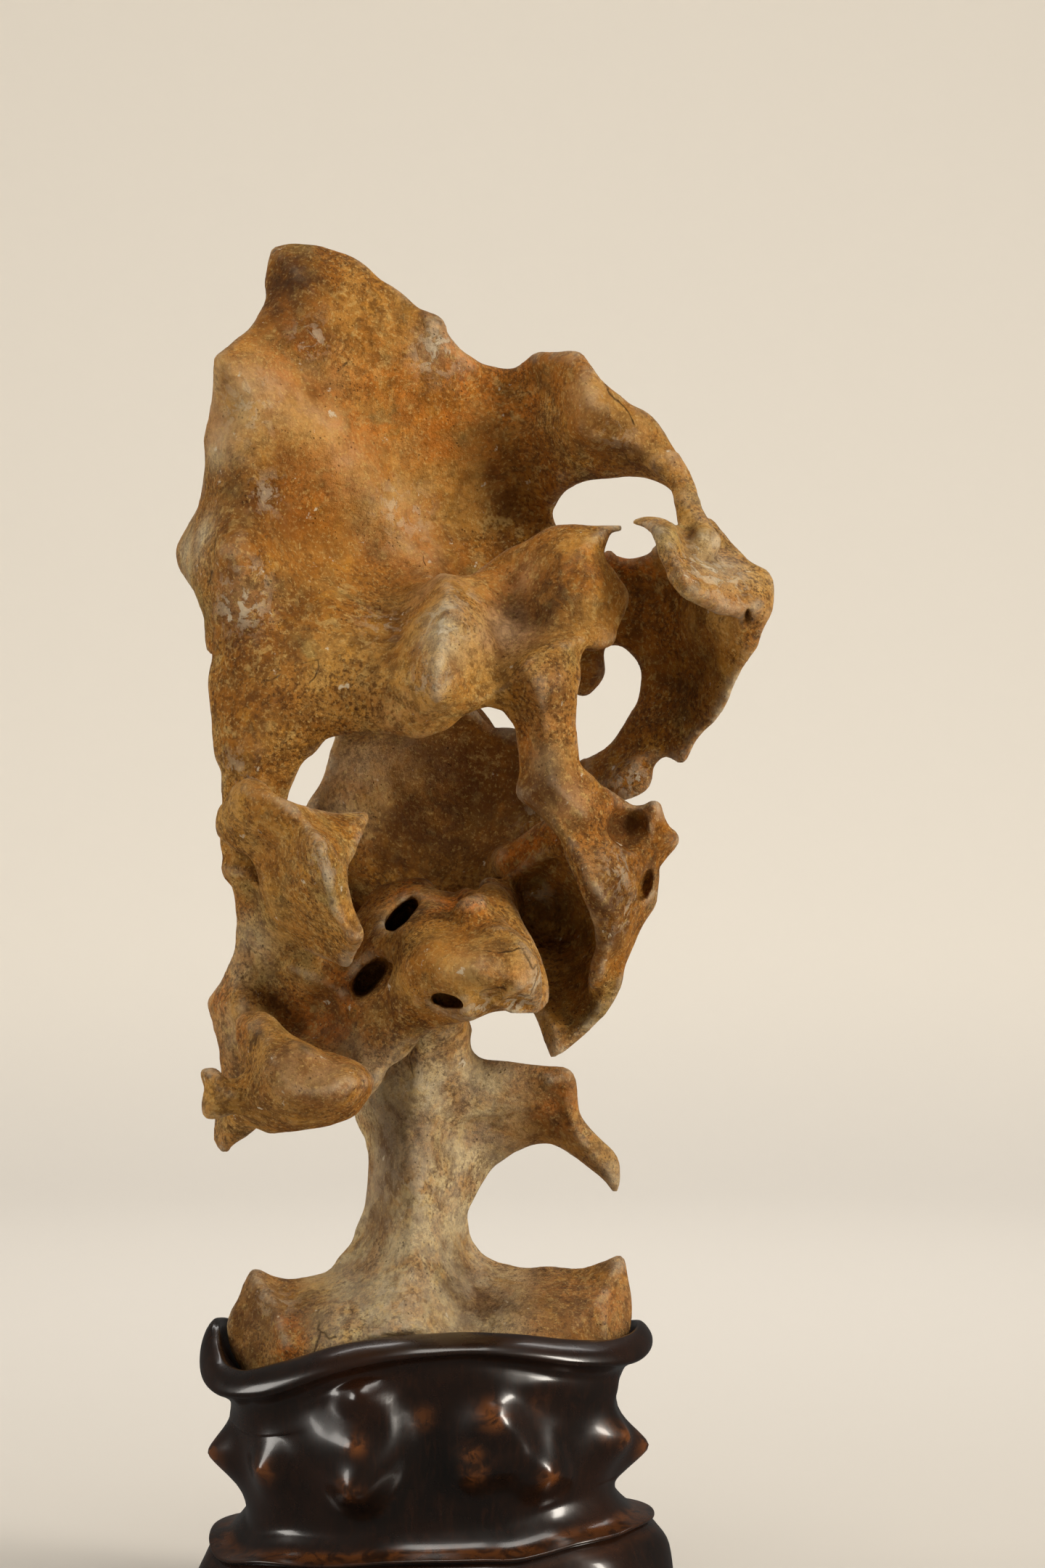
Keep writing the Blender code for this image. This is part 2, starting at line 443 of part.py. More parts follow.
def left_fin(stone):
    stone.sheet([(330, 1095), (345, 1083), (360, 1086), (385, 1096), (410, 1106), (440, 1116), (470, 1121),
                 (506, 1121), (500, 1140), (490, 1165), (478, 1190), (476, 1220), (480, 1245), (490, 1268),
                 (498, 1290), (490, 1310), (480, 1332), (455, 1322), (420, 1303), (395, 1285), (372, 1245),
                 (349, 1176), (331, 1125)],
                [(345, 1095, -72), (400, 1118, -84), (440, 1160, -90), (460, 1210, -92), (475, 1260, -88),
                 (488, 1300, -84), (500, 1125, -64), (470, 1150, -76), (440, 1122, -74), (350, 1150, -68),
                 (400, 1220, -76), (400, 1280, -60), (450, 1290, -72), (360, 1200, -64), (390, 1170, -74)],
                thick=22, edge=3, taper=9,
                crests=[([(345, 1085), (389, 1100), (419, 1126), (440, 1162), (450, 1198), (460, 1244),
                        (486, 1292)], 8, 4)])


def left_lobe(stone):
    stone.sheet([(330, 1412), (335, 1403), (348, 1399), (361, 1399), (377, 1406), (394, 1419), (409, 1433),
                 (426, 1447), (441, 1454), (462, 1457), (483, 1462), (499, 1471), (508, 1481), (512, 1492),
                 (506, 1507), (497, 1521), (487, 1534), (462, 1546), (430, 1555), (398, 1560), (377, 1560),
                 (365, 1555), (354, 1548), (339, 1538), (329, 1525), (325, 1511), (329, 1494), (337, 1485),
                 (338, 1471), (335, 1458), (331, 1441)],
                [(345, 1410, -74), (380, 1430, -86), (420, 1480, -100), (480, 1490, -102), (500, 1500, -94),
                 (400, 1545, -90), (350, 1520, -84), (340, 1450, -78), (450, 1465, -92), (460, 1530, -98),
                 (370, 1480, -94)], thick=34, edge=5, taper=9,
                crests=[([(360, 1405), (395, 1430), (440, 1462), (485, 1470), (505, 1490)], 4, 4),
                        ([(505, 1490), (470, 1530), (400, 1545)], 4, 4), ([(375, 1430), (372, 1480),
                        (390, 1520)], 2, 5)])


def knob_and_spike(stone):
    stone.sheet([(340, 1490), (325, 1488), (310, 1484), (296, 1472), (276, 1476), (282, 1499), (279, 1520),
                 (284, 1537), (300, 1537), (325, 1532), (345, 1530)],
                [(280, 1500, -76), (320, 1505, -82), (345, 1505, -80), (290, 1480, -78), (290, 1535, -78)],
                thick=16, edge=2.5, taper=8,
                crests=[([(282, 1478), (286, 1505), (286, 1535)], 2.5, 3)])
    stone.sheet([(298, 1530), (296, 1570), (309, 1588), (322, 1577), (348, 1548), (360, 1530), (340, 1500),
                 (310, 1500)],
                [(297, 1540, -46), (310, 1580, -50), (340, 1540, -52), (330, 1510, -46)], thick=16, edge=3,
                taper=8)


def hidden_links(stone):
    stone.limb([(600, 1420, -10, 14), (590, 1370, -25, 16), (570, 1320, -30, 14)], blend=14)
    stone.limb([(740, 800, 10, 9), (770, 810, -20, 10), (790, 815, -38, 10)], blend=12)
    stone.limb([(620, 870, -20, 12), (620, 890, -50, 14)], blend=14)
    stone.limb([(500, 975, 14, 8), (480, 930, -8, 10), (470, 900, -20, 10)], blend=12)
    stone.limb([(400, 1230, -52, 9), (395, 1250, -40, 10), (385, 1265, -30, 10)], blend=12)
    stone.limb([(345, 1110, -62, 9), (335, 1130, -48, 10)], blend=12)
    stone.limb([(428, 1478, -32, 11), (420, 1486, -60, 10), (410, 1480, -84, 11)], blend=12)
    stone.limb([(330, 1535, -46, 7), (350, 1520, -60, 8), (370, 1510, -74, 9)], blend=8)
    stone.limb([(815, 870, -38, 7), (815, 840, -20, 8), (820, 830, -4, 6)], blend=10)
    stone.limb([(650, 1262, -60, 8), (670, 1250, -40, 6), (680, 1245, -20, 8), (690, 1250, 4, 8)], blend=10)
    stone.limb([(920, 640, -16, 5), (938, 668, -20, 4.4), (947, 695, -26, 4.6), (957, 722, -34, 5.5),
                (972, 748, -44, 7)], blend=7)
    # spur seen through the right opening
    stone.limb([(780, 860, 10, 9), (800, 895, 14, 8.5), (808, 922, 17, 7.5), (804, 940, 19, 5)], blend=8)
    # floor behind the dark hole
    stone.lump((508, 1346, -10), (20, 18, 9), blend=8)


def back_relief(stone):
    # a spine down the back and folds across it, so the back is as broken as the front
    stone.limb([(420, 400, 12, 10), (430, 480, 22, 15), (470, 600, 40, 16), (500, 720, 50, 15),
                (520, 840, 46, 14), (560, 940, 38, 12)], blend=18)
    stone.limb([(480, 620, 38, 12), (570, 640, 44, 12), (660, 620, 44, 12), (760, 580, 26, 12),
                (840, 590, 8, 10)], blend=16)
    stone.limb([(330, 880, -14, 10), (400, 900, 6, 12), (470, 860, 30, 12), (520, 800, 44, 12)], blend=16)
    stone.limb([(640, 1000, 48, 9), (680, 1080, 56, 11), (690, 1180, 50, 11), (640, 1280, 34, 10),
                (600, 1360, 6, 12)], blend=14)
    stone.limb([(440, 1130, 28, 8), (520, 1160, 50, 10), (610, 1150, 60, 10), (690, 1110, 56, 9)], blend=14)
    stone.limb([(720, 760, 34, 9), (800, 790, 20, 8), (860, 830, 20, 8), (930, 860, 10, 8)], blend=12)
    stone.lump((395, 1280, -16), (13, 16, 10), blend=12)
    stone.lump((380, 1450, -12), (15, 17, 10), turn=30, blend=12)
    stone.lump((600, 1830, 34), (30, 22, 16), turn=10, blend=14)
    stone.lump((600, 1570, 18), (9, 26, 9), turn=-6, blend=10)
    # hollows from behind
    stone.scoop((560, 520, 46), (24, 22, 26), turn=20, blend=10)
    stone.scoop((600, 760, 66), (24, 26, 30), blend=10)
    stone.scoop((380, 660, 20), (16, 34, 20), turn=10, blend=10)
    stone.scoop((600, 1080, 78), (15, 17, 16), turn=15, blend=7)
    stone.scoop((540, 1240, 52), (18, 13, 18), turn=-25, blend=7)
    stone.scoop((740, 1120, 62), (10, 20, 18), turn=20, blend=7)
    stone.scoop((780, 540, 30), (16, 12, 14), turn=30, blend=8)
    stone.scoop((350, 1060, -6), (13, 24, 14), blend=8)
    stone.scoop((885, 850, 32), (11, 15, 10), turn=20, blend=7)
    stone.scoop((780, 1280, 38), (12, 15, 14), turn=-20, blend=7)
    stone.scoop((560, 1700, 34), (13, 26, 10), turn=-10, blend=8)
    stone.scoop((700, 1850, 46), (18, 14, 14), turn=10, blend=8)
    stone.scoop((620, 960, 8), (9, 9, 16), turn=10, blend=6)


def holes(stone):
    stone.scoop((508, 1346, -50), (10.5, 6.5, 26), turn=52, blend=5)
    stone.scoop((617, 1379, -84), (8, 3.6, 18), turn=-12, blend=2)
    stone.scoop((553, 1263, -30), (10.5, 4.8, 24), turn=50, blend=3)
    stone.scoop((605, 1212, 6), (13, 6, 16), turn=-10, blend=4)
    stone.scoop((892, 1217, -44), (3, 7, 11), turn=-17, blend=2)
    stone.scoop((866, 1139, -51), (8, 9, 10), turn=20, blend=5)
    stone.scoop((1029, 853, -58), (1.8, 4.5, 8), turn=-5, blend=2)


def around(table, angle):
    """A value that runs smoothly round the stand through (degrees, value) pairs."""
    deg = np.array([p[0] for p in table], float)
    val = np.array([p[1] for p in table], float)
    deg = np.concatenate([deg[-2:] - 360, deg, deg[:2] + 360])
    val = np.concatenate([val[-2:], val, val[:2]])
    slope = (val[2:] - val[:-2]) / (deg[2:] - deg[:-2])
    knots, at = deg[1:-1], val[1:-1]
    a = np.degrees(angle) % 360
    i = np.clip(np.searchsorted(knots, a, side="right") - 1, 0, len(knots) - 2)
    span = knots[i + 1] - knots[i]
    t = (a - knots[i]) / span
    curve = (2 * t**3 - 3 * t**2 + 1) * at[i] + (t**3 - 2 * t**2 + t) * span * slope[i]
    return curve + (3 * t**2 - 2 * t**3) * at[i + 1] + (t**3 - t**2) * span * slope[i + 1]


def oval(angle, a, b, shift=0.0):
    """A ring a little squarer than an ellipse, with half-axes a and b, moved to the right by shift."""
    c, s = np.cos(angle), np.sin(angle)
    x = STAND_X + shift + a * np.sign(c) * np.abs(c) ** OVAL
    y = b * np.sign(s) * np.abs(s) ** OVAL
    return x, y


def socket_axes(depth):
    """The socket's half-axes at a depth: 0 at the rim, 1 at its floor. It narrows like a bowl."""
    return 86 - 13 * depth**1.5, 46 - 11 * depth**1.5


def collar_rings(angle):
    """The upper piece's section, ring after ring: up the socket, over the rim, down the waist, under."""
    rim, low, seam = around(RIM_TOP, angle), around(RIM_LOW, angle), around(SEAM, angle)
    roll = low - rim
    deep = rim - SOCKET_FLOOR
    level = np.zeros_like(angle)
    under = 0.5 * (seam + SEAM_MIDDLE)
    floor_a, floor_b = socket_axes(1.0)
    table = [
        (42, 19, 0.6, SOCKET_FLOOR + level), (floor_a - 1.5, floor_b - 1.5, 1, SOCKET_FLOOR + level),
        (*socket_axes(0.97), 1, SOCKET_FLOOR + 0.03 * deep), (*socket_axes(0.7), 1, rim - 0.7 * deep),
        (*socket_axes(0.35), 1, rim - 0.35 * deep), (*socket_axes(0.0), 1, rim - 1.2),
        (86.9, 47.2, 0.8, rim - 0.2),
        (88.8, 49.8, 0.5, rim), (91.4, 54.5, 0.2, rim + 0.2 * roll), (93.2, 58.6, 0.2, rim + 0.5 * roll),
        (93.3, 60.8, 0.2, rim + 0.8 * roll), (91.6, 60.6, 0.2, rim + 0.98 * roll), (88, 58, 0, low - 1.2),
        (84, 55.4, 0, low - 4), (81.6, 54, 0, low - 9), (80.4, 53, -0.6, low - 16),
        (80, 52.5, -0.4, -262 + level),
        (79.8, 52, 0, -272 + level), (78.5, 51, 0.6, -282 + level), (76.6, 49.8, 1.6, seam + 14),
        (78.6, 51.4, 2, seam + 8.5), (83.4, 55.2, 2.4, seam + 3.6), (89.4, 60, 2.5, seam + 1.9),
        (91.6, 61.8, 2.5, seam + 1.3), (91.8, 62, 2.5, seam + 0.5), (91, 61.3, 2.5, seam),
        (87.6, 58.6, 2.5, seam), (70, 46, 1.2, under), (36, 24, 0, SEAM_MIDDLE + level)]
    return table, SOCKET_FLOOR, SEAM_MIDDLE


def base_rings(angle):
    """The lower piece's section: under the flange, out over the belly and in to the flat underside."""
    seam = around(SEAM, angle) - FIT
    level = np.zeros_like(angle)
    under = 0.5 * (around(SEAM, angle) + SEAM_MIDDLE) - FIT
    table = [
        (36, 24, 0, SEAM_MIDDLE - FIT + level), (70, 46, 1.2, under), (87.6, 58.6, 2.5, seam),
        (89.4, 60, 2.5, seam - 0.5),
        (92.6, 62.6, 2.6, seam - 4), (96.4, 65.6, 2.7, seam - 11), (98.4, 67.2, 2.7, -328 + level),
        (98, 67, 2.7, -337 + level), (94.4, 64.4, 2.7, -346 + level),
        (90.6, 61.4, 2.7, STAND_BOTTOM + 3 + level),
        (89.2, 60.2, 2.7, STAND_BOTTOM + 0.7 + level), (88, 59.2, 2.7, STAND_BOTTOM + level),
        (60, 40, 1.4, STAND_BOTTOM + level)]
    return table, SEAM_MIDDLE - FIT, STAND_BOTTOM


def on_waist(px, py):
    """Where the waist's front is at this place of the picture, in mm."""
    y = -50.0
    for _ in range(6):
        x = (px - PICTURE_X) * PIXEL * (1 + y / EYE) - STAND_X
        y = -52.5 * max(1 - abs(x / 80) ** (2 / OVAL), 0.0) ** (OVAL / 2)
    return np.array([x + STAND_X, y, (PICTURE_Y - py) * PIXEL * (1 + y / EYE)])


def carved(points):
    """How far the waist's skin stands out at the points: broad bosses, the knobs on them and the ridges."""
    rise = np.zeros(len(points))
    for where, height, width in BOSSES:
        far = ((points - np.array(where)) ** 2).sum(1)
        rise += height * np.exp(-((far / width**2) ** 1.7))
    for where, height, width in KNOBS:
        far = ((points - np.array(where)) ** 2).sum(1)
        rise += height * np.exp(-far / (2 * width * width))
        rise += min(0.3 * height, 1.2) * np.exp(-far / (2 * (0.3 * width) ** 2))
        rise -= 0.25 * height * np.exp(-far / (2 * (1.9 * width) ** 2))
    for line, height, width in RIDGES:
        best = np.full(len(points), 1e9)
        for a, b in zip(line[:-1], line[1:]):
            d = b - a
            t = np.clip(((points - a) @ d) / (d @ d), 0, 1)[:, None]
            best = np.minimum(best, ((points - a - t * d) ** 2).sum(1))
        rise += height * np.exp(-best / (2 * width * width))
    return rise


def turned_piece(rings, sides, spans, lobes):
    """The closed skin of one stand piece: sides points round each ring, spans rows between two rings."""
    angle = np.linspace(0, 2 * np.pi, sides, endpoint=False)
    table, first, last = rings(angle)
    rows = np.array([np.stack([*oval(angle, a, b, shift), z], -1) for a, b, shift, z in table])
    if spans > 1:
        rows = curve_through(rows.reshape(len(rows), -1), False, spans).reshape(-1, sides, 3)
    points = rows.reshape(-1, 3)
    out = np.stack([np.cos(angle), np.sin(angle) * 1.4], -1)
    out /= np.linalg.norm(out, axis=1)[:, None]
    out = np.tile(out, (len(rows), 1))
    z = points[:, 2]
    turn = np.tile(angle, len(rows))
    seam = around(SEAM, turn)
    if lobes:
        # the belly's soft scallops die out toward the seam and the foot
        band = np.clip((z - STAND_BOTTOM - 1) / 12, 0, 1) * np.clip((seam - 1 - z) / 7, 0, 1)
        rise = 1.5 * band * np.cos(9 * turn + 0.8)
    else:
        # only the skin between the rim's lower edge and the flange is carved
        band = np.clip((around(RIM_LOW, turn) - 2 - z) / 5, 0, 1) * np.clip((z - seam - 4) / 7, 0, 1)
        skin = np.arange(len(points)) // sides >= 12 * spans
        rise = carved(points) * band * skin
    points = points.copy()
    points[:, :2] += out * rise[:, None]
    middle = [STAND_X, 0.0]
    points = np.vstack([points, [*middle, first], [*middle, last]])
    i = np.arange(sides)
    j = (i + 1) % sides
    faces = []
    for row in range(len(rows) - 1):
        a = row * sides
        faces += np.stack([a + i, a + j, a + sides + j, a + sides + i], -1).tolist()
    top, bottom = len(rows) * sides, len(rows) * sides + 1
    faces += np.stack([j, i, np.full(sides, top)], -1).tolist()
    end = (len(rows) - 1) * sides
    faces += np.stack([end + i, end + j, np.full(sides, bottom)], -1).tolist()
    return points, faces


KNOBS = [
    (on_waist(497, 1984), 3.8, 5.5), (on_waist(493, 2049), 3.6, 5.5), (on_waist(371, 2024), 4.4, 7.0),
    (on_waist(672, 1945), 4.6, 7.0), (on_waist(650, 2026), 4.6, 6.0), (on_waist(748, 2030), 4.6, 6.0),
    (on_waist(842, 1976), 4.0, 6.0), ((STAND_X - 80, -3.0, -276.0), 13.0, 8.5),
    ((STAND_X + 80.6, -4.0, -272.5), 15.0, 8.0),
    ((STAND_X - 52, 40.0, -268.0), 6.0, 9.0), ((STAND_X - 18, 52.0, -280.0), 6.0, 8.0),
    ((STAND_X + 14, 52.0, -262.0), 6.5, 9.0), ((STAND_X + 50, 42.0, -276.0), 6.0, 8.5)]
BOSSES = [
    (on_waist(476, 1995), 8.0, 18.0), (on_waist(500, 2030), 2.5, 13.0), (on_waist(372, 2030), 3.0, 13.0),
    (on_waist(680, 1982), 9.0, 18.0), (on_waist(735, 2025), 4.0, 12.0), (on_waist(838, 1984), 5.5, 13.0),
    ((STAND_X - 50, 42.0, -272.0), 4.5, 17.0), ((STAND_X + 5, 52.0, -272.0), 4.5, 20.0),
    ((STAND_X + 52, 42.0, -268.0), 4.0, 15.0)]
RIDGES = [
    (np.array([on_waist(510, 1922), on_waist(545, 1945), on_waist(556, 1980), on_waist(545, 2012),
               on_waist(512, 2050)]), 5.0, 5.0),
    (np.array([on_waist(510, 1922), on_waist(620, 1897), on_waist(720, 1906), on_waist(840, 1916)]),
     2.8, 4.5),
    (np.array([on_waist(690, 1960), on_waist(715, 1995), on_waist(690, 2015)]), 2.2, 4.5),
    (np.array([on_waist(760, 1985), on_waist(780, 2030)]), 2.0, 4.0)]


def stone_field(voxel):
    """Every part of the stone, one after another, in one block."""
    stone = Field(voxel)
    for part in (inner_bowl, lower_bowl, far_branch, neck_and_foot, upper_wall, back_wall, little_bridge,
                 tongue_hump, tongue, front_arch, right_fin, left_fin, left_lobe, knob_and_spike,
                 hidden_links, back_relief, holes):
        part(stone)
    stone.ripple(24.0, 1.3, 3)
    stone.ripple(9.0, 0.55, 7)
    fit_foot(stone)
    return stone


def fit_foot(stone):
    """Trims the foot to the socket's plan below the rim, where it is out of sight."""
    grow = 1 + stone.y[None, None, :] / EYE
    x = stone.x[:, None, None] * grow - STAND_X - 1
    z = stone.z[None, :, None] * grow
    y = stone.y[None, None, :] + 0 * x
    rim = around(RIM_TOP, np.arctan2(y / 46, x / 86)[:, :1, :])
    depth = np.clip((rim - z) / (rim - SOCKET_FLOOR), 0, 1.2)
    a, b = socket_axes(depth)
    a, b = a - SOCKET_GAP / MM, b - SOCKET_GAP / MM
    power = 2 / OVAL
    k = (np.abs(x / a) ** power + np.abs(y / b) ** power) ** (1 / power)
    steep = np.sqrt((x / a) ** 2 / a**2 + (y / b) ** 2 / b**2) + 1e-6
    plan = (k - 1) * k / steep
    free = np.clip(z - rim - 0.5, 0, None) * 2.5
    stone.f = blend_cut(stone.f, (plan - free).astype(np.float32), 2.0)


def to_true_space(points):
    """Spreads things behind the middle plane and draws in those before it, so that the eye sees them where
    the picture shows them."""
    grow = 1 + points[:, 2:3] / EYE
    return np.stack([points[:, 0:1] * grow, points[:, 2:3], points[:, 1:2] * grow], 1)[:, :, 0]


def skin(stone):
    """The mesh where the distance is zero, as points in true space and faces."""
    grid = openvdb.FloatGrid(30.0)
    grid.copyFromArray(stone.f)
    points, triangles, quads = grid.convertToPolygons(0.0, 0.0)
    points = points.astype(float) * stone.voxel + [stone.x[0], stone.z[0], stone.y[0]]
    faces = triangles.tolist() + quads.tolist()
    return to_true_space(points), faces


def material(name, color, roughness):
    made = bpy.data.materials.new(name)
    made.use_nodes = True
    shader = made.node_tree.nodes["Principled BSDF"]
    shader.inputs["Base Color"].default_value = (*color, 1)
    shader.inputs["Roughness"].default_value = roughness
    return made


def mesh_object(name, points, faces, look, home):
    """A mesh object, its points turned from mm to metres."""
    mesh = bpy.data.meshes.new(name)
    mesh.from_pydata((points * MM).tolist(), [], faces)
    mesh.materials.append(look)
    made = bpy.data.objects.new(name, mesh)
    home.objects.link(made)
    return made


def largest_piece_only(bm):
    """Loose crumbs left by the blending are taken away."""
    seen = set()
    pieces = []
    for start in bm.verts:
        if start in seen:
            continue
        seen.add(start)
        stack = [start]
        piece = []
        while stack:
            vert = stack.pop()
            piece.append(vert)
            for edge in vert.link_edges:
                other = edge.other_vert(vert)
                if other not in seen:
                    seen.add(other)
                    stack.append(other)
        pieces.append(piece)
    pieces.sort(key=len)
    for piece in pieces[:-1]:
        bmesh.ops.delete(bm, geom=piece, context="VERTS")
    return len(pieces)


def cut_flat(bm, height):
    """Cuts off what is below the height and closes the cut with one flat face."""
    geom = bm.verts[:] + bm.edges[:] + bm.faces[:]
    cut = bmesh.ops.bisect_plane(bm, geom=geom, plane_co=(0, 0, height), plane_no=(0, 0, 1), clear_inner=True)
    rim = [item for item in cut["geom_cut"] if isinstance(item, bmesh.types.BMEdge)]
    bmesh.ops.edgeloop_fill(bm, edges=rim)


def fewer_faces(made, triangles, kept=""):
    """Collapses edges until about this many triangles are left, sparing the vertices of the kept group."""
    thin = made.modifiers.new("fewer faces", "DECIMATE")
    thin.ratio = triangles / sum(len(face.vertices) - 2 for face in made.data.polygons)
    thin.vertex_group = kept
    thin.invert_vertex_group = bool(kept)
    graph = bpy.context.evaluated_depsgraph_get()
    light = bpy.data.meshes.new_from_object(made.evaluated_get(graph), depsgraph=graph)
    made.modifiers.clear()
    made.data = light


def make_stone(home):
    stone = stone_field(VOXEL_SIZE / MM)
    points, faces = skin(stone)
    made = mesh_object("rock", points, faces, material("stone", (0.42, 0.27, 0.13), 0.75), home)
    bm = bmesh.new()
    bm.from_mesh(made.data)
    crumbs = largest_piece_only(bm)
    bmesh.ops.triangulate(bm, faces=bm.faces[:])
    bmesh.ops.recalc_face_normals(bm, faces=bm.faces[:])
    before = len(bm.faces)
    bm.to_mesh(made.data)
    bm.free()
    fewer_faces(made, STONE_TRIANGLES)
    bm = bmesh.new()
    bm.from_mesh(made.data)
    cut_flat(bm, (SOCKET_FLOOR + FIT) * MM)
    bmesh.ops.triangulate(bm, faces=bm.faces[:])
    bmesh.ops.recalc_face_normals(bm, faces=bm.faces[:])
    if bm.calc_volume(signed=True) < 0:
        bmesh.ops.reverse_faces(bm, faces=bm.faces[:])
    print("stone: loose pieces", crumbs, "faces", before, "->", len(bm.faces))
    print("stone: litres", bm.calc_volume() * 1000)
    bm.to_mesh(made.data)
    bm.free()
    return made


def make_stand(home):
    wood = material("dark hardwood", (0.03, 0.014, 0.008), 0.28)
    points, faces = turned_piece(collar_rings, COLLAR_SIDES, 1, False)
    collar = mesh_object("stand_collar", points, faces, wood, home)
    # the underside stays as it is, so that it keeps its gap to the base
    kept = collar.vertex_groups.new(name="underside")
    kept.add(list(range(len(points) - 1 - 5 * COLLAR_SIDES, len(points))), 1.0, "REPLACE")
    fewer_faces(collar, COLLAR_TRIANGLES, "underside")
    points, faces = turned_piece(base_rings, BASE_SIDES, 1, True)
    base = mesh_object("stand_base", points, faces, wood.copy(), home)
    for piece in (collar, base):
        bm = bmesh.new()
        bm.from_mesh(piece.data)
        bmesh.ops.recalc_face_normals(bm, faces=bm.faces[:])
        bmesh.ops.triangulate(bm, faces=bm.faces[:])
        print(piece.name, "faces", len(bm.faces), "litres", bm.calc_volume() * 1000)
        bm.to_mesh(piece.data)
        bm.free()
    return collar, base


def to_origin(pieces):
    """Moves the whole model so that its box stands on the floor, its middle over the origin."""
    corners = np.array([v.co for piece in pieces for v in piece.data.vertices])
    low, high = corners.min(0), corners.max(0)
    shift = np.array([-(low[0] + high[0]) / 2, -(low[1] + high[1]) / 2, -low[2]])
    for piece in pieces:
        for vertex in piece.data.vertices:
            vertex.co.x += shift[0]
            vertex.co.y += shift[1]
            vertex.co.z += shift[2]
    print("shift", shift.round(5).tolist(), "size", (high - low).round(4).tolist())


def main():
    for old in list(bpy.data.objects):
        bpy.data.objects.remove(old, do_unlink=True)
    home = bpy.data.collections.new("scholars rock")
    bpy.context.scene.collection.children.link(home)
    stone = make_stone(home)
    collar, base = make_stand(home)
    to_origin([stone, collar, base])


main()
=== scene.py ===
# %% [markdown]
# # A scholars rock on its hardwood stand
# A scholars rock is a stone that water has eaten into arches, fins and hollows. People stand one on a desk in
# a wooden stand that is carved to fit its foot. This lesson builds one in Blender: first the stone, then its
# colour, then the stand, then a studio to see it in.
#
# The plain solids of the model are loaded first. They are the fixed frame: every finished piece goes where
# they are.

# %% The fixed frame
import bpy
import numpy as np
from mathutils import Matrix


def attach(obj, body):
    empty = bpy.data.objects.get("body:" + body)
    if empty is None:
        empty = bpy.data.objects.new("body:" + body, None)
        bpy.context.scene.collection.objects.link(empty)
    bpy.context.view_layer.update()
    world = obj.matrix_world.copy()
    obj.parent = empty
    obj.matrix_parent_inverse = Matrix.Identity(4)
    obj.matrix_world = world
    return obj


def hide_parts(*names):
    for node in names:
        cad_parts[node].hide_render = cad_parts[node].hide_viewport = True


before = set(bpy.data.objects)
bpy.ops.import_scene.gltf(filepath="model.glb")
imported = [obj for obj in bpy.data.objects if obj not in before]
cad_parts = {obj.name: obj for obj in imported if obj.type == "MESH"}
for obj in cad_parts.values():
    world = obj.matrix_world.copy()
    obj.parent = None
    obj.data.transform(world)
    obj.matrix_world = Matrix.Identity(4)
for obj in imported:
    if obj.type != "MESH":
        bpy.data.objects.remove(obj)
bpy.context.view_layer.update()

import openvdb

# %% [markdown]
# ## Measuring with a picture
# The stone is described by where its parts are seen: so many pixels across and down a picture of 1440 by
# 2160, and so many millimetres in front of or behind the plane through its middle. One pixel in that plane is
# 0.3 mm. A long lens 1.53 m away sees things behind the plane a little smaller, so they are spread out again
# at the end.

# %% Real sizes
PIXEL = 0.3                  # mm in the middle plane
EYE = 1530.0                 # mm from the eye to that plane
PICTURE_X, PICTURE_Y = 720.0, 1080.0
MIDDLE = np.array([0.0219, 0.0153, 0.356])   # where the picture's middle lies in the model, metres
MM = 0.001

STAND_X = -39.9              # mm, the stand's middle from the picture's middle
SOCKET_FLOOR = -247.0        # mm from eye level
STAND_BOTTOM = -356.0
SEAM_MIDDLE = -308.0
FIT = 0.3                    # gap between pieces that rest on each other
SOCKET_GAP = 1.5
SOCKET_A, SOCKET_B = 86, 46  # mm, the socket's half-axes at the rim
OVAL = 0.86                  # the stand's plan: 1 is an ellipse, less is squarer


def at(px, py):
    """The place of a pixel in the middle plane, in mm from the picture's middle."""
    return (px - PICTURE_X) * PIXEL, (PICTURE_Y - py) * PIXEL


def to_model(points):
    """From (x, z, depth) in the picture's space to metres: x and z grow by 1 + depth / EYE."""
    grow = 1 + points[:, 2] / EYE
    return np.stack([points[:, 0] * grow, points[:, 2], points[:, 1] * grow], 1) * MM + MIDDLE


print("the picture shows", 1440 * PIXEL, "by", 2160 * PIXEL, "mm at the stone")

# %% [markdown]
# ## The camera
# It stands where the picture was taken from: level with the stone's middle, with an 85 mm lens.

# %% Camera
lens = bpy.data.cameras.new("camera")
lens.lens = 85
lens.sensor_fit = "VERTICAL"
lens.sensor_height = 36
camera = bpy.data.objects.new("camera", lens)
camera.location = MIDDLE + [0, -EYE * MM, 0]
camera.rotation_euler = (np.pi / 2, 0, 0)
bpy.context.scene.collection.objects.link(camera)
bpy.context.scene.camera = camera
print("the camera is", round(-camera.location.y, 3), "m before the origin")

# %% [markdown]
# ## How to make a stone like this
# A grid of numbers fills the space round the stone. Each number says how far that place is from the skin, and
# it is below zero inside the stone. Shapes are easy to join in such a field, because the nearer of two
# distances is the union, and a small fillet between them looks like worn rock. Modelling the arches by hand
# from faces would be slower, and every join would need care. The skin becomes a mesh at the end, in one step.

# %% The block of space
VOXEL = 1.5                  # mm
across = np.arange((225 - PICTURE_X) * PIXEL, (1085 - PICTURE_X) * PIXEL, VOXEL)
upward = np.arange((PICTURE_Y - 1975) * PIXEL, (PICTURE_Y - 325) * PIXEL, VOXEL)
depths = np.arange(-120, 84, VOXEL)
field = np.full((len(across), len(upward), len(depths)), 30.0, np.float32)
flat_x, flat_z = np.meshgrid(across, upward, indexing="ij")


def litres():
    """How much stone the field holds so far."""
    return round(float((field < 0).sum() * VOXEL**3 / 1e6), 3)


print("the block has", field.size // 1000, "thousand voxels")

# %% [markdown]
# Two ways to join shapes. Both take the nearer or the farther distance, and round the crease by an amount
# that grows where the two distances are nearly the same.

# %% Joining distances


